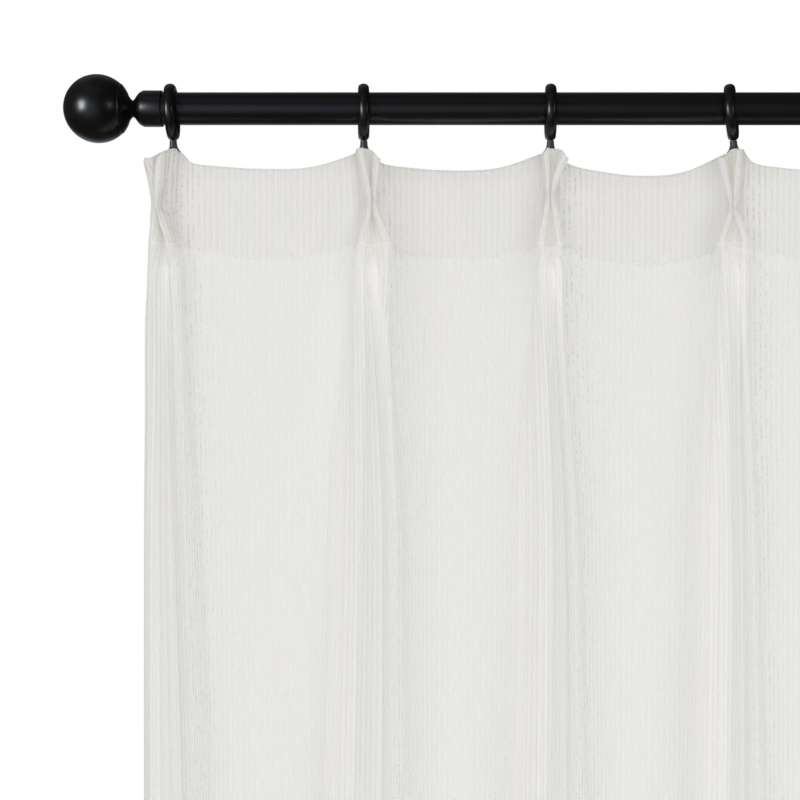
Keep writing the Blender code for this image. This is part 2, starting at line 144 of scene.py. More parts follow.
# Each pleat: its distance from the one before, its ring's yaw and lean and the cloth's turn
# in degrees, its tack's drop, the room left of it low down, its right corner's lift, the
# cloth's extra sag on its right, and how far right of the hook its tips are at each level.
# The first two differ from the solids' by a few mm.
Pleat = namedtuple("Pleat", "gap yaw lean turn tack_drop room perk slack "
                            "top tack seam skirt body low hem")
PLEATS = (
    Pleat(0, 2, 2.8, -26, 38, 12, -3, 0,
          (-21.5, -10), (-15.2, -11.7), (-15, -1), (-14, 3), (-11, 16), (-9, 26), (-8, 30)),
    Pleat(164.5, 3, 0.5, 20, 39, 30, 0, -1.5,
          (-2, 13), (6.6, 10.2), (0, 23), (1, 23), (-3, 28), (-12, 32), (-12, 30)),
    Pleat(161.5, -3.4, -0.2, -10, 33, 30, 0, 4,
          (-6.5, 11.5), (-4.8, -1.1), (-11.5, 4.5), (-9.5, 4.5), (-5.5, 17.5), (-11.5, 23.5),
          (-11.5, 25.5)),
    Pleat(160, -16.5, 4, -16, 43, 30, -2, 1,
          (-19.5, -3.5), (-10.4, -6.7), (-19.5, 2.5), (-17.5, 0.5), (-15.5, 10.5),
          (-20.5, 16.5), (-19.5, 18.5)),
    Pleat(159.5, 6, -2, 12, 38, 30, 1, 3,
          (-3, 10), (2.3, 6), (-6, 14), (-5, 12), (-5, 22), (-10, 26), (-12, 24)),
    Pleat(160, 5, 1, -8, 40, 30, 0, 1,
          (-9, 6), (-4.7, -1), (-13, 8), (-10, 7), (-9, 17), (-13, 24), (-10, 26)),
    Pleat(163, 3, -2, 6, 36, 30, 0, 0,
          (-6, 8), (-0.7, 3), (-10, 9), (-8, 8), (-6, 14), (-10, 18), (-12, 16)),
)
# The panel's side edges: how far outside the end hooks, and how far back.
Side = namedtuple("Side", "name drop left right back")
SIDES = (
    Side("top", 0, 25.6, 24, 0),
    Side("tack", 40, 18.6, 17, 0),
    Side("seam", 75, 21.5, 18, 1),
    Side("skirt", 120, 23, 24, 3),
    Side("body", 330, 23.5, 32, 7),
    Side("low", 600, 24.3, 34, 8),
    Side("hem", 1980, 24, 34, 10),
)

# How finely the cloth is meshed
CORE_SHARE = 0.3                    # of the way from one pleat to the next, closely meshed
CORE_COLUMNS = 36
SPAN_COLUMNS = 16
EDGE_COLUMNS = 36
CURVE_STEPS = 6
TAKE_UP = 4                         # the power by which cloth is taken up towards a groove
MOST_TAKEN_UP = 0.8                 # of the threads' spacing, right at the groove
NEAREST = 1e-6                      # points of a row count as at least this far apart
HEADING_DROP = 20 * MM              # where the heading's flat width is measured
ROW_BANDS = ((0, 100, 2.5), (100, 400, 7.5), (400, 1980, 32))   # from, to, step in mm
PLY_GAP = 0.6 * MM                  # between a hem's plies
TURNING = 11 * MM                   # the panel's top, turned over the heading band
TURNED_EDGE = TURNING + BAND_SETBACK + PLY_GAP   # the turning's edge above the fold
TURNING_FOOT = 1 * MM               # where its last full row lies, below the fold
TURNING_ROWS = 5
RIDGE_SHARES = (0.75, 0.25)         # rows over the fold, as shares of the way across it
SIDE_HEM = 9 * MM
BOTTOM_HEM = 70 * MM
HEM_START = 0.3 * MM                # where a hem's first row lies, from its fold
HEM_ROWS = 6
HEM_REACH = 40                      # of a row's threads, enough to hold a side hem
TAPE_ROWS = 27

# Soft creases, listed: pleat, how far right of its groove along the cloth, drop, half
# its length and width, how it leans from upright (degrees) and how far it stands forward.
Crease = namedtuple("Crease", "pleat across drop length width lean height")
CREASES = (
    Crease(0, 29, 12, 26, 6, 0, 2.6),
    Crease(0, 41, 27, 17, 5, -8, -2.6),
    Crease(0, 33, 46, 11, 3.5, -42, -1.6),
    Crease(0, 40, 52, 14, 3, -58, 0.9),
    Crease(0, 44, 66, 15, 3, -72, 0.8),
    Crease(0, 62, 60, 30, 5, 6, -1.6),
    Crease(0, -30, 150, 60, 7, 4, 1.4),
    Crease(1, 38, 30, 14, 3, -24, 0.8),
    Crease(1, 46, 62, 18, 4, 30, 0.9),
    Crease(1, -46, 190, 90, 6, -5, 1.5),
    Crease(1, -62, 250, 110, 7, -6, 1.2),
    Crease(1, 30, 230, 80, 5, 5, 1.3),
    Crease(2, 36, 40, 16, 4, -30, 1.2),
    Crease(2, 50, 20, 22, 5, 12, -1.0),
    Crease(2, -40, 200, 90, 6, -5, 1.4),
    Crease(2, -58, 280, 120, 8, -5, 1.2),
    Crease(2, 26, 120, 30, 8, 14, 0.6),
    Crease(3, 36, 52, 15, 3, -36, 0.9),
    Crease(3, 48, 30, 20, 4, 10, -0.9),
    Crease(3, -42, 210, 90, 6, -4, 1.4),
    Crease(3, 12, 135, 22, 9, 62, 0.6),
    Crease(4, 40, 45, 16, 4, -32, 1.0),
    Crease(4, -48, 220, 100, 7, -5, 1.3),
    Crease(5, 38, 42, 16, 4, -28, 1.0),
    Crease(5, -44, 240, 100, 7, -4, 1.3),
    Crease(6, 36, 40, 16, 4, -34, 1.0),
    Crease(6, -40, 200, 90, 6, -5, 1.2),
)
# How far each pleat's groove is smoothed out low down
SOFT_GROOVES = (0.85, 0.35, 0.3, 0.3, 0.25, 0.3, 0.25)
PUCKER_RADIUS = 17 * MM             # how far wrinkles run out from each tack
PUCKER_HEIGHT = 0.55 * MM
PUCKER_SPOKES = 9
DIMPLE_DEPTH = 1.1 * MM
DIMPLE_RADIUS = 3.2 * MM
TACK_BEHIND_TIP = 6 * MM
RIPPLE_PITCH = 13 * MM              # of the fine upright ripples beside each groove
RIPPLE_HEIGHT = 0.4 * MM
RIPPLE_ACROSS = -20 * MM            # from the groove to their middle
RIPPLE_WIDTH = 75 * MM
RIPPLE_RISE = 60 * MM               # below the heading, where they are full
RIPPLE_FALL = 900 * MM              # where they have faded
RIPPLE_SWAY = 1.3                   # how far they wander, in radians of their pitch
RIPPLE_BENDS = 9                    # radians of that for each metre down

# Weave, and the light in it. A pair is where something is full and where it is gone.
THREADS_PER_RIB = 3
RIB_WANDER = 0.9 * MM
WEFT_PITCH = 1.15 * MM
GAUZE_LINE = (0.15 * MM, 0.6 * MM)  # the dark dashes along the middle of the gauze
KNOT_SIZE = (0.25 * MM, 0.8 * MM)
KNOTS_MISSING = 0.35                # the share of a thread's places that has no knot
SEAM_SIZE = (0.9 * MM, 1.5 * MM)
LIGHT_THROUGH = 0.42                # the share of what meets the cloth that passes into it
TAPE_PITCH = 0.9 * MM
TWIST_PITCH = 0.5 * MM
# Painted light in the cloth: an emitted glow in the grooves, their fingers and the folds left of
# them, and painted shade beside each groove
GLOW_WIDTH = (5 * MM, 19 * MM)      # either side of a groove: full glow, and none
FINGER_WIDTH = (26 * MM, 44 * MM)   # the fainter glow of its two fingers, the same
FINGER_GLOW = 0.22
GLOW_DEPTH = (70 * MM, 200 * MM)    # down the groove, the same
KNOTS_ACROSS = 52 * MM              # right of each groove, where the knots are painted darkest: painted shade
RIBS_ACROSS = -24 * MM              # and left of it, where the gaps between the ribs are painted darker: painted shade
SHADE_WIDTH = 28 * MM
FLANK_ACROSS = -54 * MM             # left of each groove, where a painted glow lights its fold
FLANK_WIDTH = 21 * MM
FLANK_GLOW = 0.72
HEADING_DEPTH = (70 * MM, 150 * MM)   # above, neither the ribs' painted shade nor the flanks' painted glow

# Sewing
THREAD_RADIUS = 0.2 * MM
STITCH_LENGTH = 2.8 * MM
STITCH_PITCH = 4 * MM
HEADING_STITCH_DROP = 73.5 * MM
SIDE_STITCH_INSET = 1 * MM          # from the hem's inner edge
BOTTOM_STITCH_INSET = 2 * MM
TACK_TURNS = 4
TACK_PITCH = 2.6 * THREAD_RADIUS

# How finely round things are meshed
THREAD_SIDES = 6
HOOK_SIDES = 14
HOOK_BEND_STEPS = 24
HOOK_SHANK_STEPS = 8
WIRE_DOMES = ((0.95, 0.3), (0.7, 0.7))   # a wire's rounded end: how far out, how wide
ROD_STEPS = 12
BALL_STEPS = 44
RIM_STEPS = 5
SCREW_SIDES = 24
STEM_SIDES = 28
STEM_STEPS = 10
RING_STEPS = (96, 24)               # round it, and round its wire
EYE_STEPS = (56, 18)
FLOOR_SIDES = 96
SHARP_ANGLE = 30                    # degrees between two faces, above which an edge is sharp
KNOB_SHARP_ANGLE = 32
EYE_SHARP_ANGLE = 50

# Camera and stage, in the photo's 800 pixel frame
PHOTO_SIZE = 800
PHOTO_SCALE = 0.867 * MM            # a pixel's size at the rod
CAMERA_DISTANCE = 1.231
FOCAL_PIXELS = 1420
SENSOR = 36
LENS = FOCAL_PIXELS / PHOTO_SIZE * SENSOR
ROD_ROW = 108.8                     # the rod's axis
FIRST_HOOK_COLUMN = 174.3
FLOOR_CLEARANCE = 40 * MM
FLOOR_RADIUS = 3.0
LIGHT_BOUNCES = 9                   # diffuse ones, for the many plies of a pleat
KEY_COLOUR = (1.0, 0.99, 0.97)
FILL_COLOUR = (1.0, 0.99, 0.98)
FILL_SHARE = 1.15                   # of the key's power
WINDOW_COLOUR = (0.86, 0.93, 1.0)
SMALL_WINDOW_SHARE = 0.06           # of the large window's power


# ------------------------------------------------------------------ settings

class ClothSettings(bpy.types.PropertyGroup):
    """Sizes and colours of the cloth."""
    rib_pitch: FloatProperty(name="Rib pitch", description="From one woven rib to the next",
                             default=5.4 * MM, unit="LENGTH")
    nep_pitch: FloatProperty(name="Nep pitch", description="Between knots along a thread",
                             default=8.8 * MM, unit="LENGTH")
    rib_colour: FloatVectorProperty(name="Rib colour", description="The thick white threads",
                                    default=(0.965, 0.963, 0.957), subtype="COLOR")
    gauze_colour: FloatVectorProperty(name="Gauze colour", description="The thin cloth between",
                                      default=(0.93, 0.926, 0.914), subtype="COLOR")
    nep_colour: FloatVectorProperty(name="Nep colour", description="Knots of natural fibre",
                                    default=(0.33, 0.32, 0.20), subtype="COLOR")
    # Painted light: the fold glow is an emitted colour that stands in for light scattered into
    # the deep grooves
    glow_colour: FloatVectorProperty(name="Fold glow", description="Light within deep grooves",
                                     default=(0.163, 0.157, 0.149), subtype="COLOR")
    solidity: FloatProperty(name="Solidity", description="How little shows through the gauze",
                            default=0.8, min=0, max=1, subtype="FACTOR")


class MetalSettings(bpy.types.PropertyGroup):
    """Colours and gloss of the rod, rings and hooks."""
    black: FloatVectorProperty(name="Black", description="The satin paint's colour",
                               default=(0.0014, 0.0014, 0.0014), subtype="COLOR")
    roughness: FloatProperty(name="Satin roughness", description="Of the painted metal",
                             default=0.3, min=0, max=1, subtype="FACTOR")
    turning_steps: IntProperty(name="Turning steps", description="Facets round a turned piece",
                               default=72, min=24)


class StageSettings(bpy.types.PropertyGroup):
    """Light and floor."""
    key_power: FloatProperty(name="Key power", description="The soft light on the cloth",
                             default=13.5, min=0, unit="POWER")
    window_power: FloatProperty(name="Window power", description="Of the window in the metal",
                                default=45, min=0, unit="POWER")
    ambient: FloatProperty(name="Ambient", description="The room's own soft light",
                           default=0.64, min=0)
    floor_colour: FloatVectorProperty(name="Floor colour", description="The pale floor",
                                      default=(0.85, 0.85, 0.85), subtype="COLOR")


# ------------------------------------------------------------------ shaders

class Value:
    """A number in a shader's tree. Arithmetic on it adds Math nodes."""

    def __init__(self, shade, socket):
        self.shade, self.socket = shade, socket

    def math(self, operation, *others, clamp=False):
        settings = {"operation": operation, "use_clamp": clamp}
        return self.shade.node("ShaderNodeMath", settings, dict(enumerate((self, *others))))

    def __add__(self, other):
        return self.math("ADD", other)

    __radd__ = __add__

    def __sub__(self, other):
        return self.math("SUBTRACT", other)

    def __rsub__(self, other):
        return (self * -1) + other

    def __mul__(self, other):
        return self.math("MULTIPLY", other)

    __rmul__ = __mul__

    def __truediv__(self, other):
        return self.math("DIVIDE", other)

    def __gt__(self, other):
        return self.math("GREATER_THAN", other)

    def outputs(self, *names):
        """Several outputs of the node that this value comes from."""
        return [Value(self.shade, self.socket.node.outputs[name]) for name in names]

    def floor(self):
        return self.math("FLOOR")

    def size(self):
        return self.math("ABSOLUTE")

    def wave(self):
        """0 to 1 and back as the value goes from one whole number to the next."""
        return 0.5 - 0.5 * (self * math.tau).math("COSINE")

    def clamp(self):
        return self.math("ADD", 0, clamp=True)

    def fade(self, full, gone):
        """1 up to full, falling smoothly to 0 at gone."""
        settings = {"interpolation_type": "SMOOTHSTEP"}
        return self.shade.node("ShaderNodeMapRange", settings, {
            "Value": self, "From Min": full, "From Max": gone, "To Min": 1.0, "To Max": 0.0})


class Shade:
    """A material's or world's node tree. node() is the one way a node is added to it."""

    def __init__(self, owner):
        self.owner = owner
        owner.use_nodes = True
        self.tree = owner.node_tree
        self.tree.nodes.clear()

    def node(self, kind, settings=None, inputs=None, output=0):
        made = self.tree.nodes.new(kind)
        for name, setting in (settings or {}).items():
            setattr(made, name, setting)
        for name, given in (inputs or {}).items():
            if isinstance(given, Value):
                self.tree.links.new(given.socket, made.inputs[name])
            else:
                made.inputs[name].default_value = given
        return None if output is None else Value(self, made.outputs[output])

    def vector(self, x=0.0, y=0.0, z=0.0):
        return self.node("ShaderNodeCombineXYZ", None, {"X": x, "Y": y, "Z": z})

    def place(self):
        """The Object coordinates, in metres, as a vector."""
        return self.node("ShaderNodeTexCoord", None, None, "Object")

    def parts(self, vector):
        return self.node("ShaderNodeSeparateXYZ", None, {"Vector": vector}).outputs(0, 1, 2)

    def attribute(self, name):
        return self.node("ShaderNodeAttribute", {"attribute_name": name}, None, "Fac")

    def flat_place(self, width, length):
        """How far across and down the flat cloth a point is, in metres, from its UV map."""
        across, up, _ = self.parts(self.node("ShaderNodeUVMap", {"uv_map": "flat_cloth"}))
        return across * width, (1 - up) * length

    def noise(self, vector, scale=1.0, detail=2.0):
        return self.node("ShaderNodeTexNoise", None, {
            "Vector": vector, "Scale": scale, "Detail": detail})

    def chance(self, x, y, channel):
        """A random number for each pair of whole numbers; channel picks one of three."""
        noise = self.node("ShaderNodeTexWhiteNoise", {"noise_dimensions": "2D"},
                          {"Vector": self.vector(x, y)}, "Color")
        return self.node("ShaderNodeSeparateColor", None, {"Color": noise}, channel)

    def mix_colour(self, share, first, second):
        first, second = (c if isinstance(c, Value) else (*c, 1) for c in (first, second))
        return self.node("ShaderNodeMix", {"data_type": "RGBA"},
                         {0: share, 6: first, 7: second}, 2)

    def bump(self, height, distance):
        return self.node("ShaderNodeBump", None, {
            "Height": height, "Distance": distance, "Strength": 1.0})

    def principled(self, **inputs):
        return self.node("ShaderNodeBsdfPrincipled", None, {
            name.replace("_", " "): given for name, given in inputs.items()})

    def finish(self, surface, output="ShaderNodeOutputMaterial"):
        self.node(output, None, {"Surface": surface}, None)
        return self.owner


def made_once(make):
    """The material of that maker, made the first time it is asked for."""
    def get(*args):
        made = bpy.data.materials.get(make.__name__)
        return made or make(Shade(bpy.data.materials.new(make.__name__)), *args)
    return get


def see_through(shade, shader, solid):
    """The shader where the cloth is solid, and what is behind it elsewhere."""
    clear = shade.node("ShaderNodeBsdfTransparent")
    return shade.node("ShaderNodeMixShader", None, {0: solid, 1: clear, 2: shader})


@made_once
def ribbed_voile(shade, width, length):
    """White threads in ribs with thin gauze between them, and beige knots in the gauze."""
    look = bpy.context.scene.curtain_cloth
    across, turned_down = shade.flat_place(width, length)
    down = turned_down - TURNED_EDGE
    # Ribs, their threads and the wefts. Slubs are the uneven places along a thread.
    wander = shade.noise(shade.vector(across * 12, down * 3), detail=1.0) - 0.5
    lines = (across + wander * RIB_WANDER) / look.rib_pitch
    line = lines.floor()
    place = lines - line
    rib = 1 - place.wave()
    slub = shade.noise(shade.vector(across * 900, down * 14))
    thread = (lines * THREADS_PER_RIB + slub * 0.12).wave()
    weft = (down / WEFT_PITCH + slub * 0.7).wave()
    # Dark dashes in the gauze between the ribs, and knots at places that vary a little
    gauze_x = (place - 0.5) * look.rib_pitch
    dash = shade.noise(shade.vector(line * 3.7, down * 60), detail=1.0).fade(0.42, 0.54)
    dark_line = gauze_x.size().fade(*GAUZE_LINE) * dash
    knots = down / look.nep_pitch + shade.chance(line, 7.0, 0)
    cell = knots.floor()
    knot_y = (knots - cell - 0.25 - shade.chance(line, cell, 1) * 0.5) * look.nep_pitch
    knot_x = gauze_x + (shade.chance(line, cell, 2) - 0.5) * (0.3 * MM)
    spread = (knot_x * knot_x + knot_y * knot_y * 0.7).math("SQRT")
    knot = spread.fade(*KNOT_SIZE) * (shade.chance(line, cell, 0) > KNOTS_MISSING)
    seam = (down - HEADING_STITCH_DROP).size().fade(*SEAM_SIZE)
    # knot_shade is painted shade: it darkens the knots and dashes most in the shade right of each
    # groove
    shaded, rib_relief_and_shade = shade.attribute("knot_shade"), shade.attribute("rib_shade")
    thick = ((thread - 0.5) * 0.6 + (rib - 0.5) * 0.5 + (slub - 0.5) * 0.45 + 0.5
             + seam * 0.6).clamp()
    colour = shade.mix_colour(thick, look.gauze_colour, look.rib_colour)
    # Painted shade: the gaps between the ribs turn grey on the fold left of each groove, where
    # rib_shade also deepens their relief
    colour = shade.mix_colour(rib_relief_and_shade * (1 - rib) * 0.25, colour, (0.62, 0.60, 0.57))
    # The dashes and knots are the cloth's own; how much darker they are right of each groove is
    # painted shade
    colour = shade.mix_colour(dark_line * (shaded * 0.5 + 0.05), colour, look.nep_colour)
    colour = shade.mix_colour(knot * (shaded * 0.65 + 0.3), colour, look.nep_colour)
    solid = (look.solidity + thick * (0.96 - look.solidity) + knot * 0.3 + seam * 0.2).clamp()
    height = (rib * (rib_relief_and_shade * 0.8 + 0.8) + thread * 0.25 + weft * 0.06 + (slub - 0.5) * 0.3
              + knot * 0.2 + seam * 0.15)
    normal = shade.bump(height, 0.45 * MM)
    # Painted light: an emitted glow in the grooves, the folds left of them and along the seam,
    # standing in for light scattered in the sheer cloth
    glow = (shade.attribute("fold_glow") + seam * 0.13).clamp()
    glow_colour = shade.mix_colour(glow, (0, 0, 0), look.glow_colour)
    front = shade.principled(Base_Color=colour, Roughness=0.82, Normal=normal,
                             Sheen_Weight=0.12, Sheen_Roughness=0.5,
                             Emission_Color=glow_colour, Emission_Strength=1.0)
    back = shade.node("ShaderNodeBsdfTranslucent", None, {
        "Color": (0.963, 0.957, 0.943, 1), "Normal": normal})
    cloth = shade.node("ShaderNodeMixShader", None, {
        0: (LIGHT_THROUGH - knot * 0.2).clamp(), 1: front, 2: back})
    shade.owner.cycles.emission_sampling = "NONE"
    return shade.finish(see_through(shade, cloth, solid))


@made_once
def woven_tape(shade, width, length):
    """The stiff heading tape: a close plain weave that lets a little light through."""
    across, down = shade.flat_place(width, length)
    warp, weft = (across / TAPE_PITCH).wave(), (down / TAPE_PITCH).wave()
    blotch = shade.noise(shade.vector(across * 60, down * 60))
    weave = warp * 0.5 + weft * 0.5
    colour = shade.mix_colour((weave * 0.7 + blotch * 0.3).clamp(), (0.945, 0.937, 0.915),
                              (0.97, 0.965, 0.95))
    normal = shade.bump(weave, 0.15 * MM)
    front = shade.principled(Base_Color=colour, Roughness=0.88, Normal=normal)
    back = shade.node("ShaderNodeBsdfTranslucent", None, {"Color": (0.965, 0.957, 0.935, 1)})
    cloth = shade.node("ShaderNodeMixShader", None, {0: 0.4, 1: front, 2: back})
    return shade.finish(see_through(shade, cloth, 0.72 + weave * 0.2))


@made_once
def sewing_thread(shade):
    """White spun thread with a fine twist."""
    x, y, z = shade.parts(shade.place())
    twist = ((x + y + z) / TWIST_PITCH).wave()
    colour = shade.mix_colour(twist, (0.80, 0.79, 0.76), (0.90, 0.90, 0.88))
    return shade.finish(shade.principled(Base_Color=colour, Roughness=0.7))


@made_once
def satin_black(shade):
    """Satin black paint on metal, with a faint orange peel and small changes in gloss."""
    look = bpy.context.scene.curtain_metal
    place = shade.place()
    cloud = shade.noise(place, 35.0, 3.0)
    peel = shade.noise(place, 900.0)
    colour = shade.mix_colour(cloud, look.black, [c * 1.7 for c in look.black])
    roughness = (look.roughness + (cloud - 0.5) * 0.1).clamp()
    return shade.finish(shade.principled(
        Base_Color=colour, Roughness=roughness, Normal=shade.bump(peel, 0.02 * MM)))


@made_once
def dark_steel(shade):
    """Blackened steel of the eyes and grub screws, rubbed a little brighter in places."""
    rub = shade.noise(shade.place(), 500.0, 3.0)
    colour = shade.mix_colour(rub, (0.005, 0.005, 0.006), (0.022, 0.022, 0.024))
    return shade.finish(shade.principled(
        Base_Color=colour, Specular_IOR_Level=0.06, Roughness=(0.35 + rub * 0.2).clamp(),
        Normal=shade.bump(rub, 0.02 * MM)))


@made_once
def zinc_wire(shade):
    """Bright drawn wire with lengthwise lines."""
    x, y, z = shade.parts(shade.place())
    lines = shade.noise(shade.vector(x * 4000, y * 4000, z * 60))
    colour = shade.mix_colour(lines, (0.40, 0.40, 0.39), (0.64, 0.64, 0.62))
    return shade.finish(shade.principled(
        Base_Color=colour, Metallic=1.0, Roughness=(0.22 + lines * 0.2).clamp(),
        Normal=shade.bump(lines, 0.01 * MM)))


@made_once
def pale_floor(shade):
    """A matt pale floor."""
    cloud = shade.noise(shade.place(), 3.0, 3.0)
    base = tuple(bpy.context.scene.curtain_stage.floor_colour)
    colour = shade.mix_colour(cloud, base, [c * 0.97 for c in base])
    return shade.finish(shade.principled(Base_Color=colour, Roughness=0.9))


# ------------------------------------------------------------------ the cloth's folds

def mix(start, end, share):
    return start + (end - start) * share


def hook_places():
    """X of every hook, with the rod's middle at zero."""
    places = [sum(pleat.gap for pleat in PLEATS[:count + 1]) * MM for count in range(len(PLEATS))]
    middle = (places[0] + places[-1]) / 2
    return [place - middle for place in places]


HOOK_X = hook_places()


def along(stops, values, at):
    """The value at a stop between the given ones, on a smooth line that never overshoots."""
    last = len(stops) - 2
    index = max(k for k in range(last + 1) if k == 0 or stops[k] <= at)
    secants = [(values[k + 1] - values[k]) / (stops[k + 1] - stops[k]) for k in range(last + 1)]

    def slope(k):
        before, after = secants[max(k - 1, 0)], secants[min(k, last)]
        return 2 * before * after / (before + after) if before * after > 0 else 0

    width = stops[index + 1] - stops[index]
    t = min(max((at - stops[index]) / width, 0), 1)
    rest = 1 - t
    return (values[index] * (1 + 2 * t) * rest ** 2 + values[index + 1] * (3 - 2 * t) * t ** 2
            + width * (slope(index) * t * rest ** 2 - slope(index + 1) * rest * t ** 2))


def level_stops(pleat):
    """The drops of LEVELS, with the pleat's own for its tack."""
    return [pleat.tack_drop if row.name == "tack" else row.drop for row in LEVELS]


def level(pleat, column, drop):
    """A column of LEVELS at a drop, read along one pleat."""
    return along(level_stops(pleat), [getattr(row, column) for row in LEVELS], drop / MM)


def finger_place(pleat, side, drop):
    """How far right of the hook a finger's tip is: side 0 is the left finger, 1 the right."""
    values = [getattr(pleat, row.name)[side] for row in LEVELS]
    return along(level_stops(pleat), values, drop / MM) * MM


def side_place(column, drop):
    return along([row.drop for row in SIDES], [getattr(row, column) for row in SIDES],
                 drop / MM) * MM


def finger(left_root, right_root, tip, half):
    """A finger's two shoulders with its tip between them, square to the way it points."""
    pointing = (tip - (left_root + right_root) / 2).normalized()
    across = Vector((pointing.y, -pointing.x))
    shoulder = tip - pointing * half
    return [shoulder - across * half, tip, shoulder + across * half]


def pleat_plan(pleat, drop):
    """Twelve plan points of a pleat at a drop, left foot to right foot: along, forward."""
    at = {name: level(pleat, name, drop) for name in Level._fields[2:]}
    left_tip = Vector((finger_place(pleat, 0, drop), at["reach_left"] * MM))
    right_tip = Vector((finger_place(pleat, 1, drop), at["reach_right"] * MM))
    room = (right_tip.x - left_tip.x) * FINGER_ROOM
    halves = [min(at[name] * MM, room) for name in ("half_left", "half_right")]
    foot = at["foot"]
    valley = at["valley"] * MM
    left_foot = Vector((mix(-ROOT, left_tip.x - pleat.room * MM, foot), 0))
    right_foot = Vector((mix(ROOT, right_tip.x + TRAIL, foot), 0))
    groove = [mix(left_tip.x, right_tip.x, share) for share in GROOVE]
    left_valley = Vector((mix(-VALLEY, groove[0], foot), valley))
    right_valley = Vector((mix(VALLEY, groove[1], foot), valley))
    left = finger(left_foot, left_valley, left_tip, halves[0])
    right = finger(right_valley, right_foot, right_tip, halves[1])
    # Low down, what lies right of the left finger is smoothed towards an even slope
    folded = [left_valley, right_valley] + right + [(right[2] + right_foot) / 2]
    slope = [left[2].lerp(right_foot, (k + 1) / (len(folded) + 1)) for k in range(len(folded))]
    soft = foot * SOFT_GROOVES[PLEATS.index(pleat)]
    eased = [point.lerp(even, soft) for point, even in zip(folded, slope)]
    return [left_foot, (left_foot + left[0]) / 2] + left + eased + [right_foot]


def top_lift(place, hook, drop):
    """How far the top of a pleat stands above the cloth beside it, at a plan point."""
    forward = CLOTH_Y - place.y
    spread = ((place.x - hook.x) / HOOK_LIFT_WIDTH) ** 4 + (forward / HOOK_LIFT_REACH) ** 2
    hump = HOOK_LIFT * math.exp(-spread)
    droop = TIP_DROOP * min(1, forward / (LEVELS[0].reach_left * MM))
    return (hump - droop) * near_edge(drop)


def near_edge(drop):
    """1 at the top edge, falling to 0 where a hook's lift ends."""
    return max(0, 1 - drop / HOOK_LIFT_DEPTH) ** 2


def raised(place, drop, sag=0):
    """A plan point at its height: the drop below the top edge, with the nearest hook's lift."""
    hook = Vector((min(HOOK_X, key=lambda hook_x: abs(hook_x - place.x)), CLOTH_Y))
    return Vector((*place, EDGE_HEIGHT - drop - sag + top_lift(place, hook, drop)))


def pleat_points(index, drop):
    """A pleat's points in space at a drop."""
    hook, pleat = Vector((HOOK_X[index], CLOTH_Y)), PLEATS[index]
    points = [raised(hook + Vector((point.x, -point.y)), drop)
              for point in pleat_plan(pleat, drop)]
    for share, point in zip(PERK_SHARES, points[-len(PERK_SHARES):]):
        point.z += share * pleat.perk * MM * near_edge(drop)
    return points


def span_points(index, start, end, drop):
    """The cloth between a pleat and the next, from one's right foot to the other's left."""
    left, right = PLEATS[index], PLEATS[index + 1]
    twist, bow, sag = ((level(left, name, drop) + level(right, name, drop)) / 2
                       for name in ("twist", "bow", "sag"))
    sag += left.slack
    length = end.x - start.x
    rise, fall = (-math.tan(math.radians(pleat.turn)) * twist * length for pleat in (left, right))
    points = []
    for t in SPAN_SHARES:
        belly = 4 * t * (1 - t)
        forward = rise * t * (1 - t) ** 2 - fall * t ** 2 * (1 - t) - bow * MM * belly
        place = start.lerp(end, t).xy + Vector((0, -forward))
        points.append(raised(place, drop, sag * MM * belly))
    return points


def edge_points(side, foot, drop):
    """A side edge of the panel and one point between it and the nearest pleat's foot."""
    outward, hook = (-1, HOOK_X[0]) if side == "left" else (1, HOOK_X[-1])
    edge = Vector((hook + outward * side_place(side, drop), CLOTH_Y + side_place("back", drop)))
    between = edge.lerp(foot.xy, 0.5) + Vector((0, side_place("back", drop) / 4))
    points = [raised(edge, drop), raised(between, drop)]
    return points if side == "left" else points[::-1]


def cloth_row(drop):
    """Every point of the cloth at one drop, from its left edge to its right edge."""
    pleats = [pleat_points(index, drop) for index in range(len(PLEATS))]
    row = edge_points("left", pleats[0][0], drop)
    for index, points in enumerate(pleats):
        row += points
        if index + 1 < len(pleats):
            row += span_points(index, points[-1], pleats[index + 1][0], drop)
    return row + edge_points("right", pleats[-1][-1], drop)


# ------------------------------------------------------------------ the fine cloth

EDGE_POINTS = 2
PLEAT_POINTS = 12
LEFT_TIP, GROOVE_POINT, RIGHT_TIP = 3, 5.5, 8   # where they come among a pleat's points


def station(index, point):
    """The place of a pleat's point among the points of a whole row."""
    return EDGE_POINTS + index * (PLEAT_POINTS + len(SPAN_SHARES)) + point


def curve_through(points):
    """Close points on a smooth centripetal curve through the given ones."""
    ends = np.vstack([2 * points[0] - points[1], points, 2 * points[-1] - points[-2]])
    p0, p1, p2, p3 = (ends[k:len(ends) - 3 + k, None] for k in range(4))

    def knot(a, b):
        return np.sqrt(np.maximum(np.linalg.norm(b - a, axis=2, keepdims=True), NEAREST))

    t1 = knot(p0, p1)
    t2 = t1 + knot(p1, p2)
    t3 = t2 + knot(p2, p3)
    t = t1 + (t2 - t1) * (np.arange(CURVE_STEPS) / CURVE_STEPS)[None, :, None]
    a1 = p0 * (t1 - t) / t1 + p1 * t / t1
    a2 = p1 * (t2 - t) / (t2 - t1) + p2 * (t - t1) / (t2 - t1)
    a3 = p2 * (t3 - t) / (t3 - t2) + p3 * (t - t2) / (t3 - t2)
    b1 = a1 * (t2 - t) / t2 + a2 * t / t2
    b2 = a2 * (t3 - t) / (t3 - t1) + a3 * (t - t1) / (t3 - t1)
    curve = b1 * (t2 - t) / (t2 - t1) + b2 * (t - t1) / (t2 - t1)
    return np.vstack([curve.reshape(-1, 3), points[-1]])


def arc_lengths(line):
    return np.concatenate([[0], np.cumsum(np.linalg.norm(np.diff(line, axis=0), axis=1))])


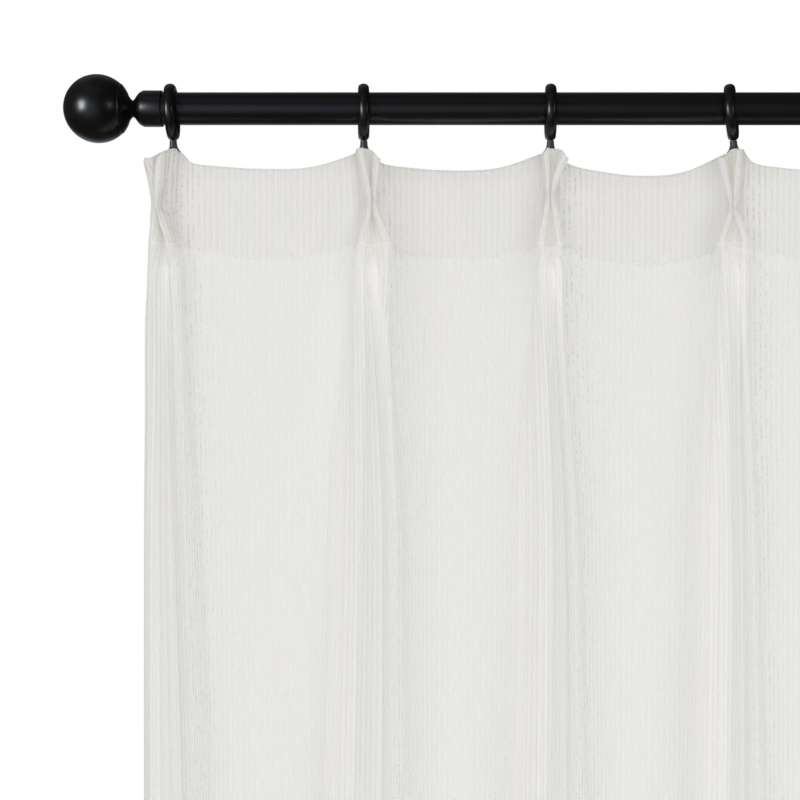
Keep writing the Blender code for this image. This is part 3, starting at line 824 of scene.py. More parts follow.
def thread_shares():
    """Where the mesh's columns lie in each stretch between grooves, closest by the pleats."""
    core = np.linspace(0, CORE_SHARE, CORE_COLUMNS, endpoint=False)
    middle = np.linspace(CORE_SHARE, 1 - CORE_SHARE, SPAN_COLUMNS, endpoint=False)
    last = np.linspace(1 - CORE_SHARE, 1, CORE_COLUMNS, endpoint=False)
    between = np.concatenate([core, middle, last])
    edge = np.linspace(0, 1, EDGE_COLUMNS, endpoint=False)
    return [edge] + [between] * (len(PLEATS) - 1) + [edge]


def row_places(drop):
    """The row's fine curve, its arc lengths, and those at its edges and grooves."""
    line = curve_through(np.array([tuple(point) for point in cloth_row(drop)]))
    arcs = arc_lengths(line)
    grooves = [int(station(index, GROOVE_POINT) * CURVE_STEPS) for index in range(len(PLEATS))]
    return line, arcs, [0.0] + [arcs[at] for at in grooves] + [arcs[-1]]


HEADING_LINE, HEADING_ARCS, HEADING_MARKS = row_places(HEADING_DROP)
FLAT_WIDTH = HEADING_MARKS[-1]             # the heading is stiff, so it gives the flat width
FLAT_ACROSS = np.concatenate(
    [start + (end - start) * share for start, end, share
     in zip(HEADING_MARKS, HEADING_MARKS[1:], thread_shares())] + [[FLAT_WIDTH]])
# The threads that hang straight down: one at each edge, and one halfway between grooves
PLUMB = [0.0] + [(start + end) / 2 for start, end
                 in zip(HEADING_MARKS[1:-1], HEADING_MARKS[2:-1])] + [FLAT_WIDTH]
PLUMB_X = np.interp(PLUMB, HEADING_ARCS, HEADING_LINE[:, 0])


def plumb_places(line, arcs):
    """Where the plumb threads lie along a row."""
    places = [0.0]
    for index, x in enumerate(PLUMB_X[1:-1]):
        span = slice(station(index, PLEAT_POINTS - 1) * CURVE_STEPS,
                     station(index + 1, 0) * CURVE_STEPS)
        places.append(np.interp(x, line[span, 0], arcs[span]))
    return places + [arcs[-1]]


def threads(line, arcs, grooves):
    """How far along a row each thread lies. Threads keep their distance from the plumb
    ones, and what the row is longer or shorter than the heading is taken up by the grooves."""
    knots_flat = sorted(PLUMB + HEADING_MARKS[1:-1])
    knots_here = sorted(plumb_places(line, arcs) + grooves[1:-1])
    places = np.empty(len(FLAT_ACROSS))
    for k in range(len(knots_flat) - 1):
        start, end = knots_flat[k], knots_flat[k + 1]
        inside = (FLAT_ACROSS >= start - TINY) & (FLAT_ACROSS <= end + TINY)
        share = np.clip((FLAT_ACROSS[inside] - start) / (end - start), 0, 1)
        longer = (knots_here[k + 1] - knots_here[k]) / (end - start) - 1
        power = min(TAKE_UP, MOST_TAKEN_UP / max(-longer, TINY))
        if k % 2:
            extra = longer * (1 - (1 - share) ** power)
        else:
            extra = longer * share ** power
        places[inside] = knots_here[k] + (share + extra) * (end - start)
    return places


def tip_across(index, point):
    """Where a pleat's tip at its tack lies along the flat cloth."""
    _, arcs, marks = row_places(PLEATS[index].tack_drop * MM)
    return np.interp(arcs[station(index, point) * CURVE_STEPS], marks, HEADING_MARKS)


TACKS = [(tip_across(index, LEFT_TIP), tip_across(index, RIGHT_TIP))
         for index in range(len(PLEATS))]


def backward(row):
    """The level direction square to the row, away from its front, at each point."""
    step = np.gradient(row[:, :2], axis=0)
    step /= np.maximum(np.linalg.norm(step, axis=1, keepdims=True), TINY)
    return np.column_stack([-step[:, 1], step[:, 0], np.zeros(len(row))])


def crease_height(across, drop):
    """How far forward creases, puckers and ripples push the cloth, at each thread of a row."""
    height = np.zeros(len(across))
    for crease in CREASES:
        x = across - HEADING_MARKS[crease.pleat + 1] - crease.across * MM
        y = drop - crease.drop * MM
        lean = math.radians(crease.lean)
        beside = (x * math.cos(lean) - y * math.sin(lean)) / (crease.width * MM)
        beyond = (x * math.sin(lean) + y * math.cos(lean)) / (crease.length * MM)
        height += crease.height * MM * np.exp(-beside ** 2 - beyond ** 2)
    for index, (left, right) in enumerate(TACKS):
        y = drop - PLEATS[index].tack_drop * MM
        for outward, tip in ((-1, left), (1, right)):
            x = (across - tip) * outward - TACK_BEHIND_TIP
            far = np.hypot(x, y)
            spokes = np.cos(PUCKER_SPOKES * np.arctan2(y, x) + index + outward)
            rise = (far / PUCKER_RADIUS) * np.exp(-(far / PUCKER_RADIUS) ** 2)
            height += 2 * PUCKER_HEIGHT * rise * (x > -TACK_BEHIND_TIP) * spokes
            height -= DIMPLE_DEPTH * np.exp(-(far / DIMPLE_RADIUS) ** 2)
    below = min(max((drop - BAND_DEPTH) / RIPPLE_RISE, 0), 1)
    below *= math.exp(-((drop / RIPPLE_FALL) ** 2))
    for index, mark in enumerate(HEADING_MARKS[1:-1]):
        near = np.exp(-((across - mark - RIPPLE_ACROSS) / RIPPLE_WIDTH) ** 2)
        sway = RIPPLE_SWAY * math.sin(drop * RIPPLE_BENDS + index)
        wave = np.sin(across / RIPPLE_PITCH * math.tau + sway)
        height += RIPPLE_HEIGHT * below * near * wave
    return height


def fine_row(drop):
    """A row of the fine cloth: one point for each thread, with its creases."""
    line, arcs, marks = row_places(drop)
    at = threads(line, arcs, marks)
    row = np.column_stack([np.interp(at, arcs, line[:, axis]) for axis in range(3)])
    return row - backward(row) * crease_height(FLAT_ACROSS, drop)[:, None]


def fade(value, full, gone):
    """1 up to full, falling smoothly to 0 at gone."""
    share = np.clip((value - full) / (gone - full), 0, 1)
    return 1 - share * share * (3 - 2 * share)


def fold_glow(across, drop):
    """How much painted glow, standing in for light scattered in the sheer cloth, fills the
    grooves and the folds left of them, at each thread of a row."""
    beside = np.abs(across[:, None] - np.array(HEADING_MARKS[1:-1])).min(axis=1)
    glow = mix(FINGER_GLOW, 1, fade(beside, *GLOW_WIDTH)) * fade(beside, *FINGER_WIDTH)
    flank = FLANK_GLOW * beside_grooves(across, FLANK_ACROSS, FLANK_WIDTH)
    return glow * fade(drop, *GLOW_DEPTH) + flank * (1 - fade(drop, *HEADING_DEPTH))


def beside_grooves(across, distance, width=SHADE_WIDTH):
    """1 that far right of every groove, at each thread of a row, less on either side."""
    beyond = (across[:, None] - np.array(HEADING_MARKS[1:-1]) - distance) / width
    return np.exp(-beyond ** 2).max(axis=1)


def row_drops():
    """The drops of the mesh's rows, closest at the heading."""
    drops = [np.arange(start, end, step) * MM for start, end, step in ROW_BANDS]
    return np.concatenate(drops + [[HEM_DROP]])


def with_side_hems(row, across):
    """The row with a hem folded behind at either end, and its places on the flat cloth."""
    back = backward(row)
    ends = []
    for flip in (1, -1):
        line, places, away = row[::flip], across[::flip], back[::flip]
        inner = np.linspace(SIDE_HEM, HEM_START, HEM_ROWS)
        near, ply = arc_lengths(line[:HEM_REACH]), (line + away * PLY_GAP)[:HEM_REACH]
        behind = np.column_stack([np.interp(inner, near, ply[:, axis]) for axis in range(3)])
        outward = (line[0] - line[1]) / np.linalg.norm(line[0] - line[1])
        fold = line[0] + away[0] * PLY_GAP / 2 + outward * PLY_GAP / 2
        width = places[0] - flip * (inner + PLY_GAP)
        ends.append((np.vstack([behind, fold]),
                     np.concatenate([width, [places[0] - flip * PLY_GAP / 2]])))
    (left, left_at), (right, right_at) = ends
    return (np.vstack([left, row, right[::-1]]),
            np.concatenate([left_at, across, right_at[::-1]]))


def grid_mesh(name, rows, across, down, flat):
    """A mesh of rows of points, with a UV map of where each lies on the flat cloth."""
    count, width = len(rows), len(rows[0])
    corners = np.arange(count * width).reshape(count, width)
    faces = np.stack([corners[:-1, :-1], corners[1:, :-1], corners[1:, 1:], corners[:-1, 1:]],
                     axis=-1).reshape(-1, 4)
    data = bpy.data.meshes.new(name)
    data.from_pydata(np.concatenate(rows), [], faces)
    u = np.tile((across - across[0]) / flat[0], count)
    v = 1 - np.repeat((down - down[0]) / flat[1], width)
    places = np.column_stack([u, v])[faces.ravel()].astype(np.float32)
    data.uv_layers.new(name="flat_cloth").data.foreach_set("uv", places.ravel())
    data.shade_smooth()
    return data


def add(name, data, material, replaces=()):
    """A finished piece on the root body, standing for its CAD nodes."""
    thing = bpy.data.objects.new(name, data)
    data.materials.clear()
    data.materials.append(material)
    bpy.context.scene.collection.objects.link(thing)
    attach(thing, "root")
    if replaces:
        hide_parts(*replaces)
    return thing


def set_back(row, distance):
    return row + backward(row) * distance


def make_panel():
    """The panel: its folds, the turning over the heading band, and its hems."""
    rows, down = [], []
    behind = BAND_SETBACK + PLY_GAP
    for drop in np.linspace(TURNING, TURNING_FOOT, TURNING_ROWS):
        rows.append(set_back(fine_row(drop), behind))
        down.append(-drop - behind)
    ridge = fine_row(0) + (0, 0, PLY_GAP / 3)
    for share in RIDGE_SHARES:
        rows.append(set_back(ridge, behind * share))
        down.append(-behind * share)
    for drop in row_drops():
        rows.append(fine_row(drop))
        down.append(drop)
    fold = fine_row(HEM_DROP) - (0, 0, PLY_GAP / 2)
    rows.append(set_back(fold, PLY_GAP / 2))
    down.append(HEM_DROP + PLY_GAP)
    for drop in np.linspace(HEM_START, BOTTOM_HEM, HEM_ROWS):
        rows.append(set_back(fine_row(HEM_DROP - drop), PLY_GAP))
        down.append(HEM_DROP + PLY_GAP + drop)
    hemmed = [with_side_hems(row, FLAT_ACROSS) for row in rows]
    across, down = hemmed[0][1], np.array(down)
    flat = (across[-1] - across[0], down[-1] - down[0])
    data = grid_mesh("curtain_panel", [row for row, _ in hemmed], across, down, flat)
    # Masks for the voile's shader: painted glow in the grooves and folds, and painted shade on
    # the knots and between the ribs
    for name, values in (("fold_glow", [fold_glow(across, at) for at in down]),
                         ("knot_shade", [beside_grooves(across, KNOTS_ACROSS)] * len(down)),
                         ("rib_shade", [beside_grooves(across, RIBS_ACROSS)
                                        * (1 - fade(at, *HEADING_DEPTH)) for at in down])):
        data.attributes.new(name, "FLOAT", "POINT").data.foreach_set(
            "value", np.concatenate(values))
    piece = add("curtain_panel", data, ribbed_voile(*flat), ["panel"])


def make_heading_tape():
    """The stiff tape behind the panel's top, on the same folds."""
    drops = np.linspace(BAND_TOP_INSET, BAND_DEPTH, TAPE_ROWS)
    rows = [set_back(fine_row(drop), BAND_SETBACK) for drop in drops]
    flat = (FLAT_WIDTH, drops[-1] - drops[0])
    data = grid_mesh("heading_tape", rows, FLAT_ACROSS, drops, flat)
    piece = add("heading_tape", data, woven_tape(*flat), ["heading_band"])


# ------------------------------------------------------------------ sewing

def front_row(drop):
    """A row of the cloth, brought forward to where a sewn thread lies on it."""
    return set_back(fine_row(drop), -THREAD_RADIUS)


def front_line(across):
    """A line of points down one thread of the cloth, where stitches lie on it."""
    thread = np.argmin(abs(FLAT_ACROSS - across))
    return np.array([front_row(drop)[thread] for drop in row_drops()])


def stitch_tree():
    """Geometry Nodes that lay a stitch at each pitch along the mesh's edges."""
    tree = bpy.data.node_groups.new("stitch_rows", "GeometryNodeTree")
    face = tree.interface
    for name, kind in (("Geometry", "NodeSocketGeometry"), ("Pitch", "NodeSocketFloat"),
                       ("Length", "NodeSocketFloat"), ("Thread Radius", "NodeSocketFloat"),
                       ("Material", "NodeSocketMaterial")):
        face.new_socket(name, in_out="INPUT", socket_type=kind)
    face.new_socket("Geometry", in_out="OUTPUT", socket_type="NodeSocketGeometry")

    def node(kind, settings=None, inputs=None):
        made = tree.nodes.new(kind)
        for name, setting in (settings or {}).items():
            setattr(made, name, setting)
        for name, given in (inputs or {}).items():
            if isinstance(given, bpy.types.NodeSocket):
                tree.links.new(given, made.inputs[name])
            else:
                made.inputs[name].default_value = given
        return made

    given = node("NodeGroupInput").outputs
    route = node("GeometryNodeMeshToCurve", None, {"Mesh": given["Geometry"]})
    points = node("GeometryNodeCurveToPoints", {"mode": "LENGTH"}, {
        "Curve": route.outputs[0], "Length": given["Pitch"]}).outputs
    bead = node("GeometryNodeMeshUVSphere", None, {"Segments": 6, "Rings": 4, "Radius": 1.0})
    half = node("ShaderNodeMath", {"operation": "MULTIPLY"}, {0: given["Length"], 1: 0.5})
    size = node("ShaderNodeCombineXYZ", None, {
        "X": given["Thread Radius"], "Y": given["Thread Radius"], "Z": half.outputs[0]})
    stitch = node("GeometryNodeTransform", None, {
        "Geometry": bead.outputs[0], "Scale": size.outputs[0]})
    smooth = node("GeometryNodeSetShadeSmooth", None, {"Geometry": stitch.outputs[0]})
    turn = node("FunctionNodeAlignRotationToVector", {"axis": "Z"}, {
        "Vector": points["Tangent"]})
    laid = node("GeometryNodeInstanceOnPoints", None, {
        "Points": points["Points"], "Instance": smooth.outputs[0], "Rotation": turn.outputs[0]})
    real = node("GeometryNodeRealizeInstances", None, {"Geometry": laid.outputs[0]})
    painted = node("GeometryNodeSetMaterial", None, {
        "Geometry": real.outputs[0], "Material": given["Material"]})
    node("NodeGroupOutput", None, {"Geometry": painted.outputs[0]})
    return tree


def make_stitch_rows():
    """The rows of stitches along the heading's foot and the hems."""
    inset = SIDE_HEM - SIDE_STITCH_INSET
    lines = [front_row(HEADING_STITCH_DROP),
             front_row(HEM_DROP - BOTTOM_HEM + BOTTOM_STITCH_INSET),
             front_line(inset), front_line(FLAT_WIDTH - inset)]
    points = np.concatenate(lines)
    starts = np.cumsum([0] + [len(line) for line in lines])
    edges = [(k, k + 1) for start, end in zip(starts, starts[1:]) for k in range(start, end - 1)]
    data = bpy.data.meshes.new("seam_routes")
    data.from_pydata(points, edges, [])
    routes = bpy.data.objects.new("seam_routes", data)
    bpy.context.scene.collection.objects.link(routes)
    tree = stitch_tree()
    maker = routes.modifiers.new("stitches", "NODES")
    maker.node_group = tree
    sizes = {"Pitch": STITCH_PITCH, "Length": STITCH_LENGTH, "Thread Radius": THREAD_RADIUS,
             "Material": sewing_thread()}
    for socket in tree.interface.items_tree:
        if socket.name in sizes:
            maker[socket.identifier] = sizes[socket.name]
    graph = bpy.context.evaluated_depsgraph_get()
    made = bpy.data.meshes.new_from_object(routes.evaluated_get(graph))
    made.name = "hem_stitching"
    bpy.data.objects.remove(routes)
    add("hem_stitching", made, sewing_thread())


def tube(shape, route, radius, sides):
    """Adds a round wire with domed ends to a bmesh, along a route of points."""
    route = [Vector(point) for point in route]
    before, after = [route[0]] + route[:-1], route[1:] + [route[-1]]
    tangents = [(b - a).normalized() for a, b in zip(before, after)]
    normal = tangents[0].orthogonal().normalized()
    frames = []
    for point, tangent in zip(route, tangents):
        normal = (normal - tangent * normal.dot(tangent)).normalized()
        frames.append((point, tangent, normal.copy(), radius))
    first, last = frames[0], frames[-1]
    start = [(first[0] - first[1] * radius * out, *first[1:3], radius * wide)
             for out, wide in WIRE_DOMES]
    end = [(last[0] + last[1] * radius * out, *last[1:3], radius * wide)
           for out, wide in reversed(WIRE_DOMES)]
    rings = []
    for point, tangent, normal, wide in start + frames + end:
        side = tangent.cross(normal)
        turns = [math.tau * k / sides for k in range(sides)]
        rings.append([shape.verts.new(point + (normal * math.cos(turn)
                                               + side * math.sin(turn)) * wide)
                      for turn in turns])
    for lower, upper in zip(rings, rings[1:]):
        for k in range(sides):
            shape.faces.new((lower[k - 1], lower[k], upper[k], upper[k - 1]))
    shape.faces.new(rings[0])
    shape.faces.new(rings[-1][::-1])


def finished(name, shape, sharp=None):
    """A mesh from a bmesh, its faces outward and smooth, sharp above an angle in degrees."""
    bmesh.ops.recalc_face_normals(shape, faces=shape.faces)
    data = bpy.data.meshes.new(name)
    shape.to_mesh(data)
    shape.free()
    data.shade_smooth()
    if sharp:
        data.set_sharp_from_angle(angle=math.radians(sharp))
    return data


def make_tacks():
    """The thread wound over each pair of fingers where they are pinched together."""
    shape = bmesh.new()
    for index, pleat in enumerate(PLEATS):
        for turn in range(TACK_TURNS):
            front = front_row(pleat.tack_drop * MM + (turn - (TACK_TURNS - 1) / 2) * TACK_PITCH)
            route = [point for tip in TACKS[index]
                     for point in front[abs(FLAT_ACROSS - tip) < TACK_BEHIND_TIP]]
            tube(shape, route, THREAD_RADIUS, THREAD_SIDES)
    add("bar_tacks", finished("bar_tacks", shape), sewing_thread())


# ------------------------------------------------------------------ rod, knobs, rings and hooks

def arc(centre, radius, start, end, steps):
    """Points of a rounded edge in a turned outline; angles in degrees from the axis outward."""
    turns = [math.radians(mix(start, end, step / steps)) for step in range(steps + 1)]
    return [(centre[0] + radius * math.sin(turn), centre[1] + radius * math.cos(turn))
            for turn in turns]


def turned(name, outline, sides):
    """An outline of radius and height, from pole to pole, turned about Z."""
    shape = bmesh.new()
    rings = []
    for radius, height in outline:
        count = 1 if radius < TINY else sides
        turns = [math.tau * k / sides for k in range(count)]
        rings.append([shape.verts.new((radius * math.cos(turn), radius * math.sin(turn), height))
                      for turn in turns])
    for upper, lower in zip(rings, rings[1:]):
        for k in range(sides):
            corners = [upper[k % len(upper)], upper[(k + 1) % len(upper)],
                       lower[(k + 1) % len(lower)], lower[k % len(lower)]]
            shape.faces.new(list(dict.fromkeys(corners)))
    return finished(name, shape, SHARP_ANGLE)


def smooth_line(points):
    """Close points through the given ones, for a turned outline's curves."""
    line = curve_through(np.array([(x, y, 0.0) for x, y in points]))
    return [(x, y) for x, y, z in line[::2]]


def torus(name, radius, wire, all_steps):
    """A torus about Y, in that many steps round it and round its wire."""
    steps, wire_steps = all_steps
    shape = bmesh.new()
    rings = []
    for step in range(steps):
        turn = math.tau * step / steps
        out = Vector((math.cos(turn), 0, math.sin(turn)))
        ring = []
        for wire_step in range(wire_steps):
            roll = math.tau * wire_step / wire_steps
            ring.append(shape.verts.new(out * (radius + wire * math.cos(roll))
                                        + Vector((0, wire * math.sin(roll), 0))))
        rings.append(ring)
    for k in range(steps):
        for j in range(wire_steps):
            shape.faces.new((rings[k - 1][j - 1], rings[k][j - 1], rings[k][j], rings[k - 1][j]))
    return finished(name, shape)


def placed(data, matrix):
    """The mesh moved to its place, so that its object stays at the origin, unturned."""
    data.transform(matrix)
    return data


def cut(data, cutter, operation="DIFFERENCE"):
    """The mesh with another cut from it or joined to it. Both blanks are removed."""
    body = bpy.data.objects.new("blank", data)
    tool = bpy.data.objects.new("tool", cutter)
    for thing in (body, tool):
        bpy.context.scene.collection.objects.link(thing)
    change = body.modifiers.new("cut", "BOOLEAN")
    change.operation = operation
    change.solver = "EXACT"
    change.object = tool
    graph = bpy.context.evaluated_depsgraph_get()
    made = bpy.data.meshes.new_from_object(body.evaluated_get(graph))
    made.name = data.name
    for thing in (body, tool):
        bpy.data.objects.remove(thing)
    return made


def make_rod():
    """The plain rod, its ends lightly chamfered."""
    half = (HOOK_X[-1] - HOOK_X[0]) / 2 + ROD_BEYOND_RING
    stops = [half * mix(1, -1, step / ROD_STEPS) for step in range(1, ROD_STEPS)]
    outline = [(0, half), (ROD_RADIUS - ROD_CHAMFER, half)]
    outline += [(ROD_RADIUS, stop) for stop in (half - ROD_CHAMFER, *stops, ROD_CHAMFER - half)]
    outline += [(ROD_RADIUS - ROD_CHAMFER, -half), (0, -half)]
    data = turned("curtain_rod", outline, bpy.context.scene.curtain_metal.turning_steps)
    placed(data, Matrix.Rotation(math.radians(90), 4, "Y"))
    add("curtain_rod", data, satin_black(), ["pole"])


def knob_outline():
    """The knob as radius and height: ball, neck, shoulder, collar and socket."""
    sweep = 180 - math.degrees(math.acos((BALL_HEIGHT - RIM_HEIGHT) / BALL_RADIUS))
    ball = arc((0, BALL_HEIGHT), BALL_RADIUS, 0, sweep - BALL_STOP, BALL_STEPS)
    rim = (ball[-1][0] + RIM_PROUD - RIM_FILLET, RIM_HEIGHT)
    edge = arc(rim, RIM_FILLET, sweep - RIM_TURN[0], sweep + RIM_TURN[1], RIM_STEPS)
    back, shoulder = ([(radius * MM, height * MM) for radius, height in table]
                      for table in (DOME, SHOULDER))
    swell = smooth_line([edge[-1], *back, (WAIST_RADIUS, WAIST_HEIGHT), *shoulder,
                         (COLLAR_RADIUS, COLLAR_LENGTH)])[1:]
    bore = ROD_RADIUS + GAP
    return ball + edge + swell + [
        (COLLAR_RADIUS, COLLAR_LIP), (COLLAR_RADIUS - COLLAR_LIP, 0), (bore + COLLAR_LIP / 2, 0),
        (bore, COLLAR_LIP / 2), (bore, SOCKET_DEPTH), (0, SOCKET_DEPTH)]


def screw_pose(out):
    """The grub screw's place on the knob: its axis square to the collar, on its upper side."""
    return Matrix.Translation((out, 0, SCREW_HEIGHT)) @ Matrix.Rotation(math.radians(90), 4, "Y")


def make_knobs():
    """A knob over either end of the rod, with a grub screw through its collar."""
    steps = bpy.context.scene.curtain_metal.turning_steps
    wall = COLLAR_RADIUS - ROD_RADIUS - GAP
    for side, hook, outward in (("left", HOOK_X[0], -1), ("right", HOOK_X[-1], 1)):
        mouth = Matrix.Translation((hook + outward * COLLAR_BEYOND_RING, 0, 0))
        turn = Matrix.Rotation(math.radians(90 * outward), 4, "Y")
        screw_up = Matrix.Rotation(math.radians(180 if outward > 0 else 0), 4, "Z")
        pose = mouth @ turn @ screw_up
        hole = turned("screw_hole", [
            (0, COLLAR_RADIUS / 3), (SCREW_RADIUS + GAP, COLLAR_RADIUS / 3),
            (SCREW_RADIUS + GAP, -COLLAR_RADIUS / 3), (0, -COLLAR_RADIUS / 3)], SCREW_SIDES)
        placed(hole, screw_pose(COLLAR_RADIUS))
        knob = cut(turned(f"rod_knob_{side}", knob_outline(), steps), hole)
        knob.set_sharp_from_angle(angle=math.radians(KNOB_SHARP_ANGLE))
        placed(knob, pose)
        add(f"rod_knob_{side}", knob, satin_black(), [f"finial_{side}"])
        bolt = turned(f"set_screw_{side}", [
            (0, wall / 2), (SCREW_RADIUS - SCREW_LIP, wall / 2),
            (SCREW_RADIUS, wall / 2 - SCREW_LIP), (SCREW_RADIUS, -wall / 2), (0, -wall / 2)],
            SCREW_SIDES)
        key = turned("hex_socket", [(0, wall), (SCREW_RADIUS / 2, wall), (SCREW_RADIUS / 2, 0),
                                    (0, 0)], 6)
        bolt = placed(cut(bolt, key), pose @ screw_pose(ROD_RADIUS + GAP + wall / 2))
        bolt.set_sharp_from_angle(angle=math.radians(SHARP_ANGLE))
        add(f"set_screw_{side}", bolt, dark_steel(), [f"grub_screw_{side}"])


def ring_pose(index):
    """How a ring and its eye lean and turn about the wire that the hook hangs on."""
    pleat = PLEATS[index]
    seat = Matrix.Translation((HOOK_X[index], 0, EYE_SEAT))
    return (seat @ Matrix.Rotation(math.radians(-pleat.lean), 4, "Y")
            @ Matrix.Rotation(math.radians(pleat.yaw), 4, "Z"))


def eye_mesh(stem_top):
    """A screw eye flared into its stem, measured from the wire the hook hangs on."""
    loop = torus("screw_eye", EYE_RADIUS, EYE_WIRE, EYE_STEPS)
    placed(loop, Matrix.Translation((0, 0, EYE_RADIUS)))
    foot = EYE_HEIGHT + EYE_RADIUS + EYE_WIRE - STEM_SINK - EYE_SEAT
    top = stem_top - EYE_SEAT
    outline = [(0, foot)]
    for step in range(STEM_STEPS + 1):
        share = step / STEM_STEPS
        radius = mix(STEM_TOP_RADIUS, STEM_FOOT_RADIUS, (1 - share) ** STEM_FLARE)
        outline.append((radius, mix(foot, top, share)))
    stem = turned("stem", outline + [(0, top)], STEM_SIDES)
    for corner in stem.vertices:
        low = (1 - min(1, (corner.co.z - foot) / STEM_FLATTENED)) ** 2
        corner.co.y *= mix(1, EYE_WIRE / STEM_FOOT_RADIUS * STEM_FOOT_THICKNESS, low)
    return cut(loop, stem, "UNION")


def make_rings():
    """The rings on the rod and the screw eyes under them."""
    ring_height = ROD_RADIUS + RING_HANG_GAP - RING_BORE_RADIUS
    stem_top = ring_height - RING_BORE_RADIUS - 2 * RING_HALF_DEPTH - GAP
    for index in range(len(PLEATS)):
        ring = torus(f"curtain_ring_{index + 1}", RING_BORE_RADIUS + RING_HALF_DEPTH,
                     RING_HALF_DEPTH, RING_STEPS)
        placed(ring, Matrix.Diagonal((1, RING_HALF_WIDTH / RING_HALF_DEPTH, 1, 1)))
        placed(ring, Matrix.Rotation(math.radians(90), 4, "Z"))
        placed(ring, Matrix.Translation((0, 0, ring_height - EYE_SEAT)))
        add(f"curtain_ring_{index + 1}", placed(ring, ring_pose(index)), satin_black(),
            [f"ring_{index + 1}"])
        eye = eye_mesh(stem_top)
        eye.set_sharp_from_angle(angle=math.radians(EYE_SHARP_ANGLE))
        add(f"screw_eye_{index + 1}", placed(eye, ring_pose(index)), dark_steel(),
            [f"eye_{index + 1}"])


def make_hooks():
    """A bent wire behind each pleat, over the eye's lower wire."""
    radius = EYE_WIRE + GAP + HOOK_WIRE
    turns = [math.pi * (1 - step / HOOK_BEND_STEPS) for step in range(HOOK_BEND_STEPS + 1)]
    bend = [Vector((0, radius * math.cos(turn), radius * math.sin(turn))) for turn in turns]
    shank = [Vector((0, -radius, -HOOK_SHANK * (1 - step / HOOK_SHANK_STEPS)))
             for step in range(HOOK_SHANK_STEPS)]
    tip = [Vector((0, radius + HOOK_TIP_OUT * share ** HOOK_TIP_CURVE, -HOOK_TIP * share))
           for share in HOOK_TIP_SHARES]
    for index, hook_x in enumerate(HOOK_X):
        shape = bmesh.new()
        seat = Vector((hook_x, 0, EYE_SEAT))
        tube(shape, [seat + point for point in shank + bend + tip], HOOK_WIRE, HOOK_SIDES)
        name = f"pleat_hook_{index + 1}"
        add(name, finished(name, shape), zinc_wire(), [f"hook_{index + 1}"])


# ------------------------------------------------------------------ stage

def make_floor():
    """The pale floor, just under the hem."""
    shape = bmesh.new()
    bmesh.ops.create_circle(shape, cap_ends=True, segments=FLOOR_SIDES, radius=FLOOR_RADIUS)
    height = EDGE_HEIGHT - HEM_DROP - FLOOR_CLEARANCE
    bmesh.ops.translate(shape, vec=(0, 0, height), verts=shape.verts)
    data = bpy.data.meshes.new("stage_floor")
    shape.to_mesh(data)
    shape.free()
    data.materials.append(pale_floor())
    floor = bpy.data.objects.new("stage_floor", data)
    floor.visible_glossy = False
    bpy.context.scene.collection.objects.link(floor)


def make_world():
    """White to the camera, soft on the cloth, and to the metal a dim room, brown below, with
    a bluish band of light level with the rod."""
    look = bpy.context.scene.curtain_stage
    world = bpy.data.worlds.new("soft_room")
    shade = Shade(world)
    seen, mirrored = shade.node("ShaderNodeLightPath").outputs("Is Camera Ray", "Is Glossy Ray")
    x, _, z = shade.parts(shade.node("ShaderNodeTexCoord", None, None, "Generated"))
    ahead = (1 - x.fade(-0.65, -0.4)) * x.fade(-0.12, 0.36)
    level_band = (1 - z.fade(-0.75, -0.4)) * z.fade(0.03, 0.35)
    high_band = (1 - z.fade(0.5, 0.7)) * z.fade(0.86, 0.97)
    room = shade.mix_colour(x.fade(0.2, 0.5), (0.02, 0.02, 0.02), (0.07, 0.07, 0.075))
    room = shade.mix_colour(z.fade(-0.9, -0.6), room, (0.11, 0.075, 0.065))
    room = shade.mix_colour(ahead * high_band, room, (0.2, 0.2, 0.22))
    room = shade.mix_colour(ahead * level_band, room, (0.50, 0.53, 0.64))
    colour = shade.mix_colour(mirrored, [look.ambient] * 3, room)
    colour = shade.mix_colour(seen, colour, (1, 1, 1))
    shade.finish(shade.node("ShaderNodeBackground", None, {"Color": colour}),
                 "ShaderNodeOutputWorld")
    bpy.context.scene.world = world


def area_light(name, place, target, size, power, colour, lights_metal):
    """A soft light that either the cloth or the metal sees."""
    data = bpy.data.lights.new(name, "AREA")
    data.shape = "RECTANGLE"
    data.size, data.size_y = size
    data.energy = power
    data.color = colour
    lamp = bpy.data.objects.new(name, data)
    lamp.location = place
    lamp.rotation_euler = (Vector(target) - Vector(place)).to_track_quat("-Z", "Y").to_euler()
    lamp.visible_glossy = lights_metal
    lamp.visible_diffuse = lamp.visible_transmission = not lights_metal
    bpy.context.scene.collection.objects.link(lamp)


def make_lights():
    """A soft key on the cloth from the left, a fill low on the right, and two windows that
    the metal mirrors."""
    look = bpy.context.scene.curtain_stage
    area_light("cloth_key", (-1.6, -2.3, 0.2), (-0.2, 0, -0.7), (1.6, 1.6),
               look.key_power, KEY_COLOUR, False)
    area_light("low_fill", (0.7, -2.3, -1.0), (0.55, 0, -1.0), (1.4, 0.8),
               look.key_power * FILL_SHARE, FILL_COLOUR, False)
    area_light("left_window", (-2.16, -1.72, 0.12), (-0.5, 0, 0), (0.7, 0.9),
               look.window_power, WINDOW_COLOUR, True)
    area_light("right_window", (1.31, -1.51, 0.2), (-0.5, 0, 0), (0.4, 0.4),
               look.window_power * SMALL_WINDOW_SHARE, WINDOW_COLOUR, True)


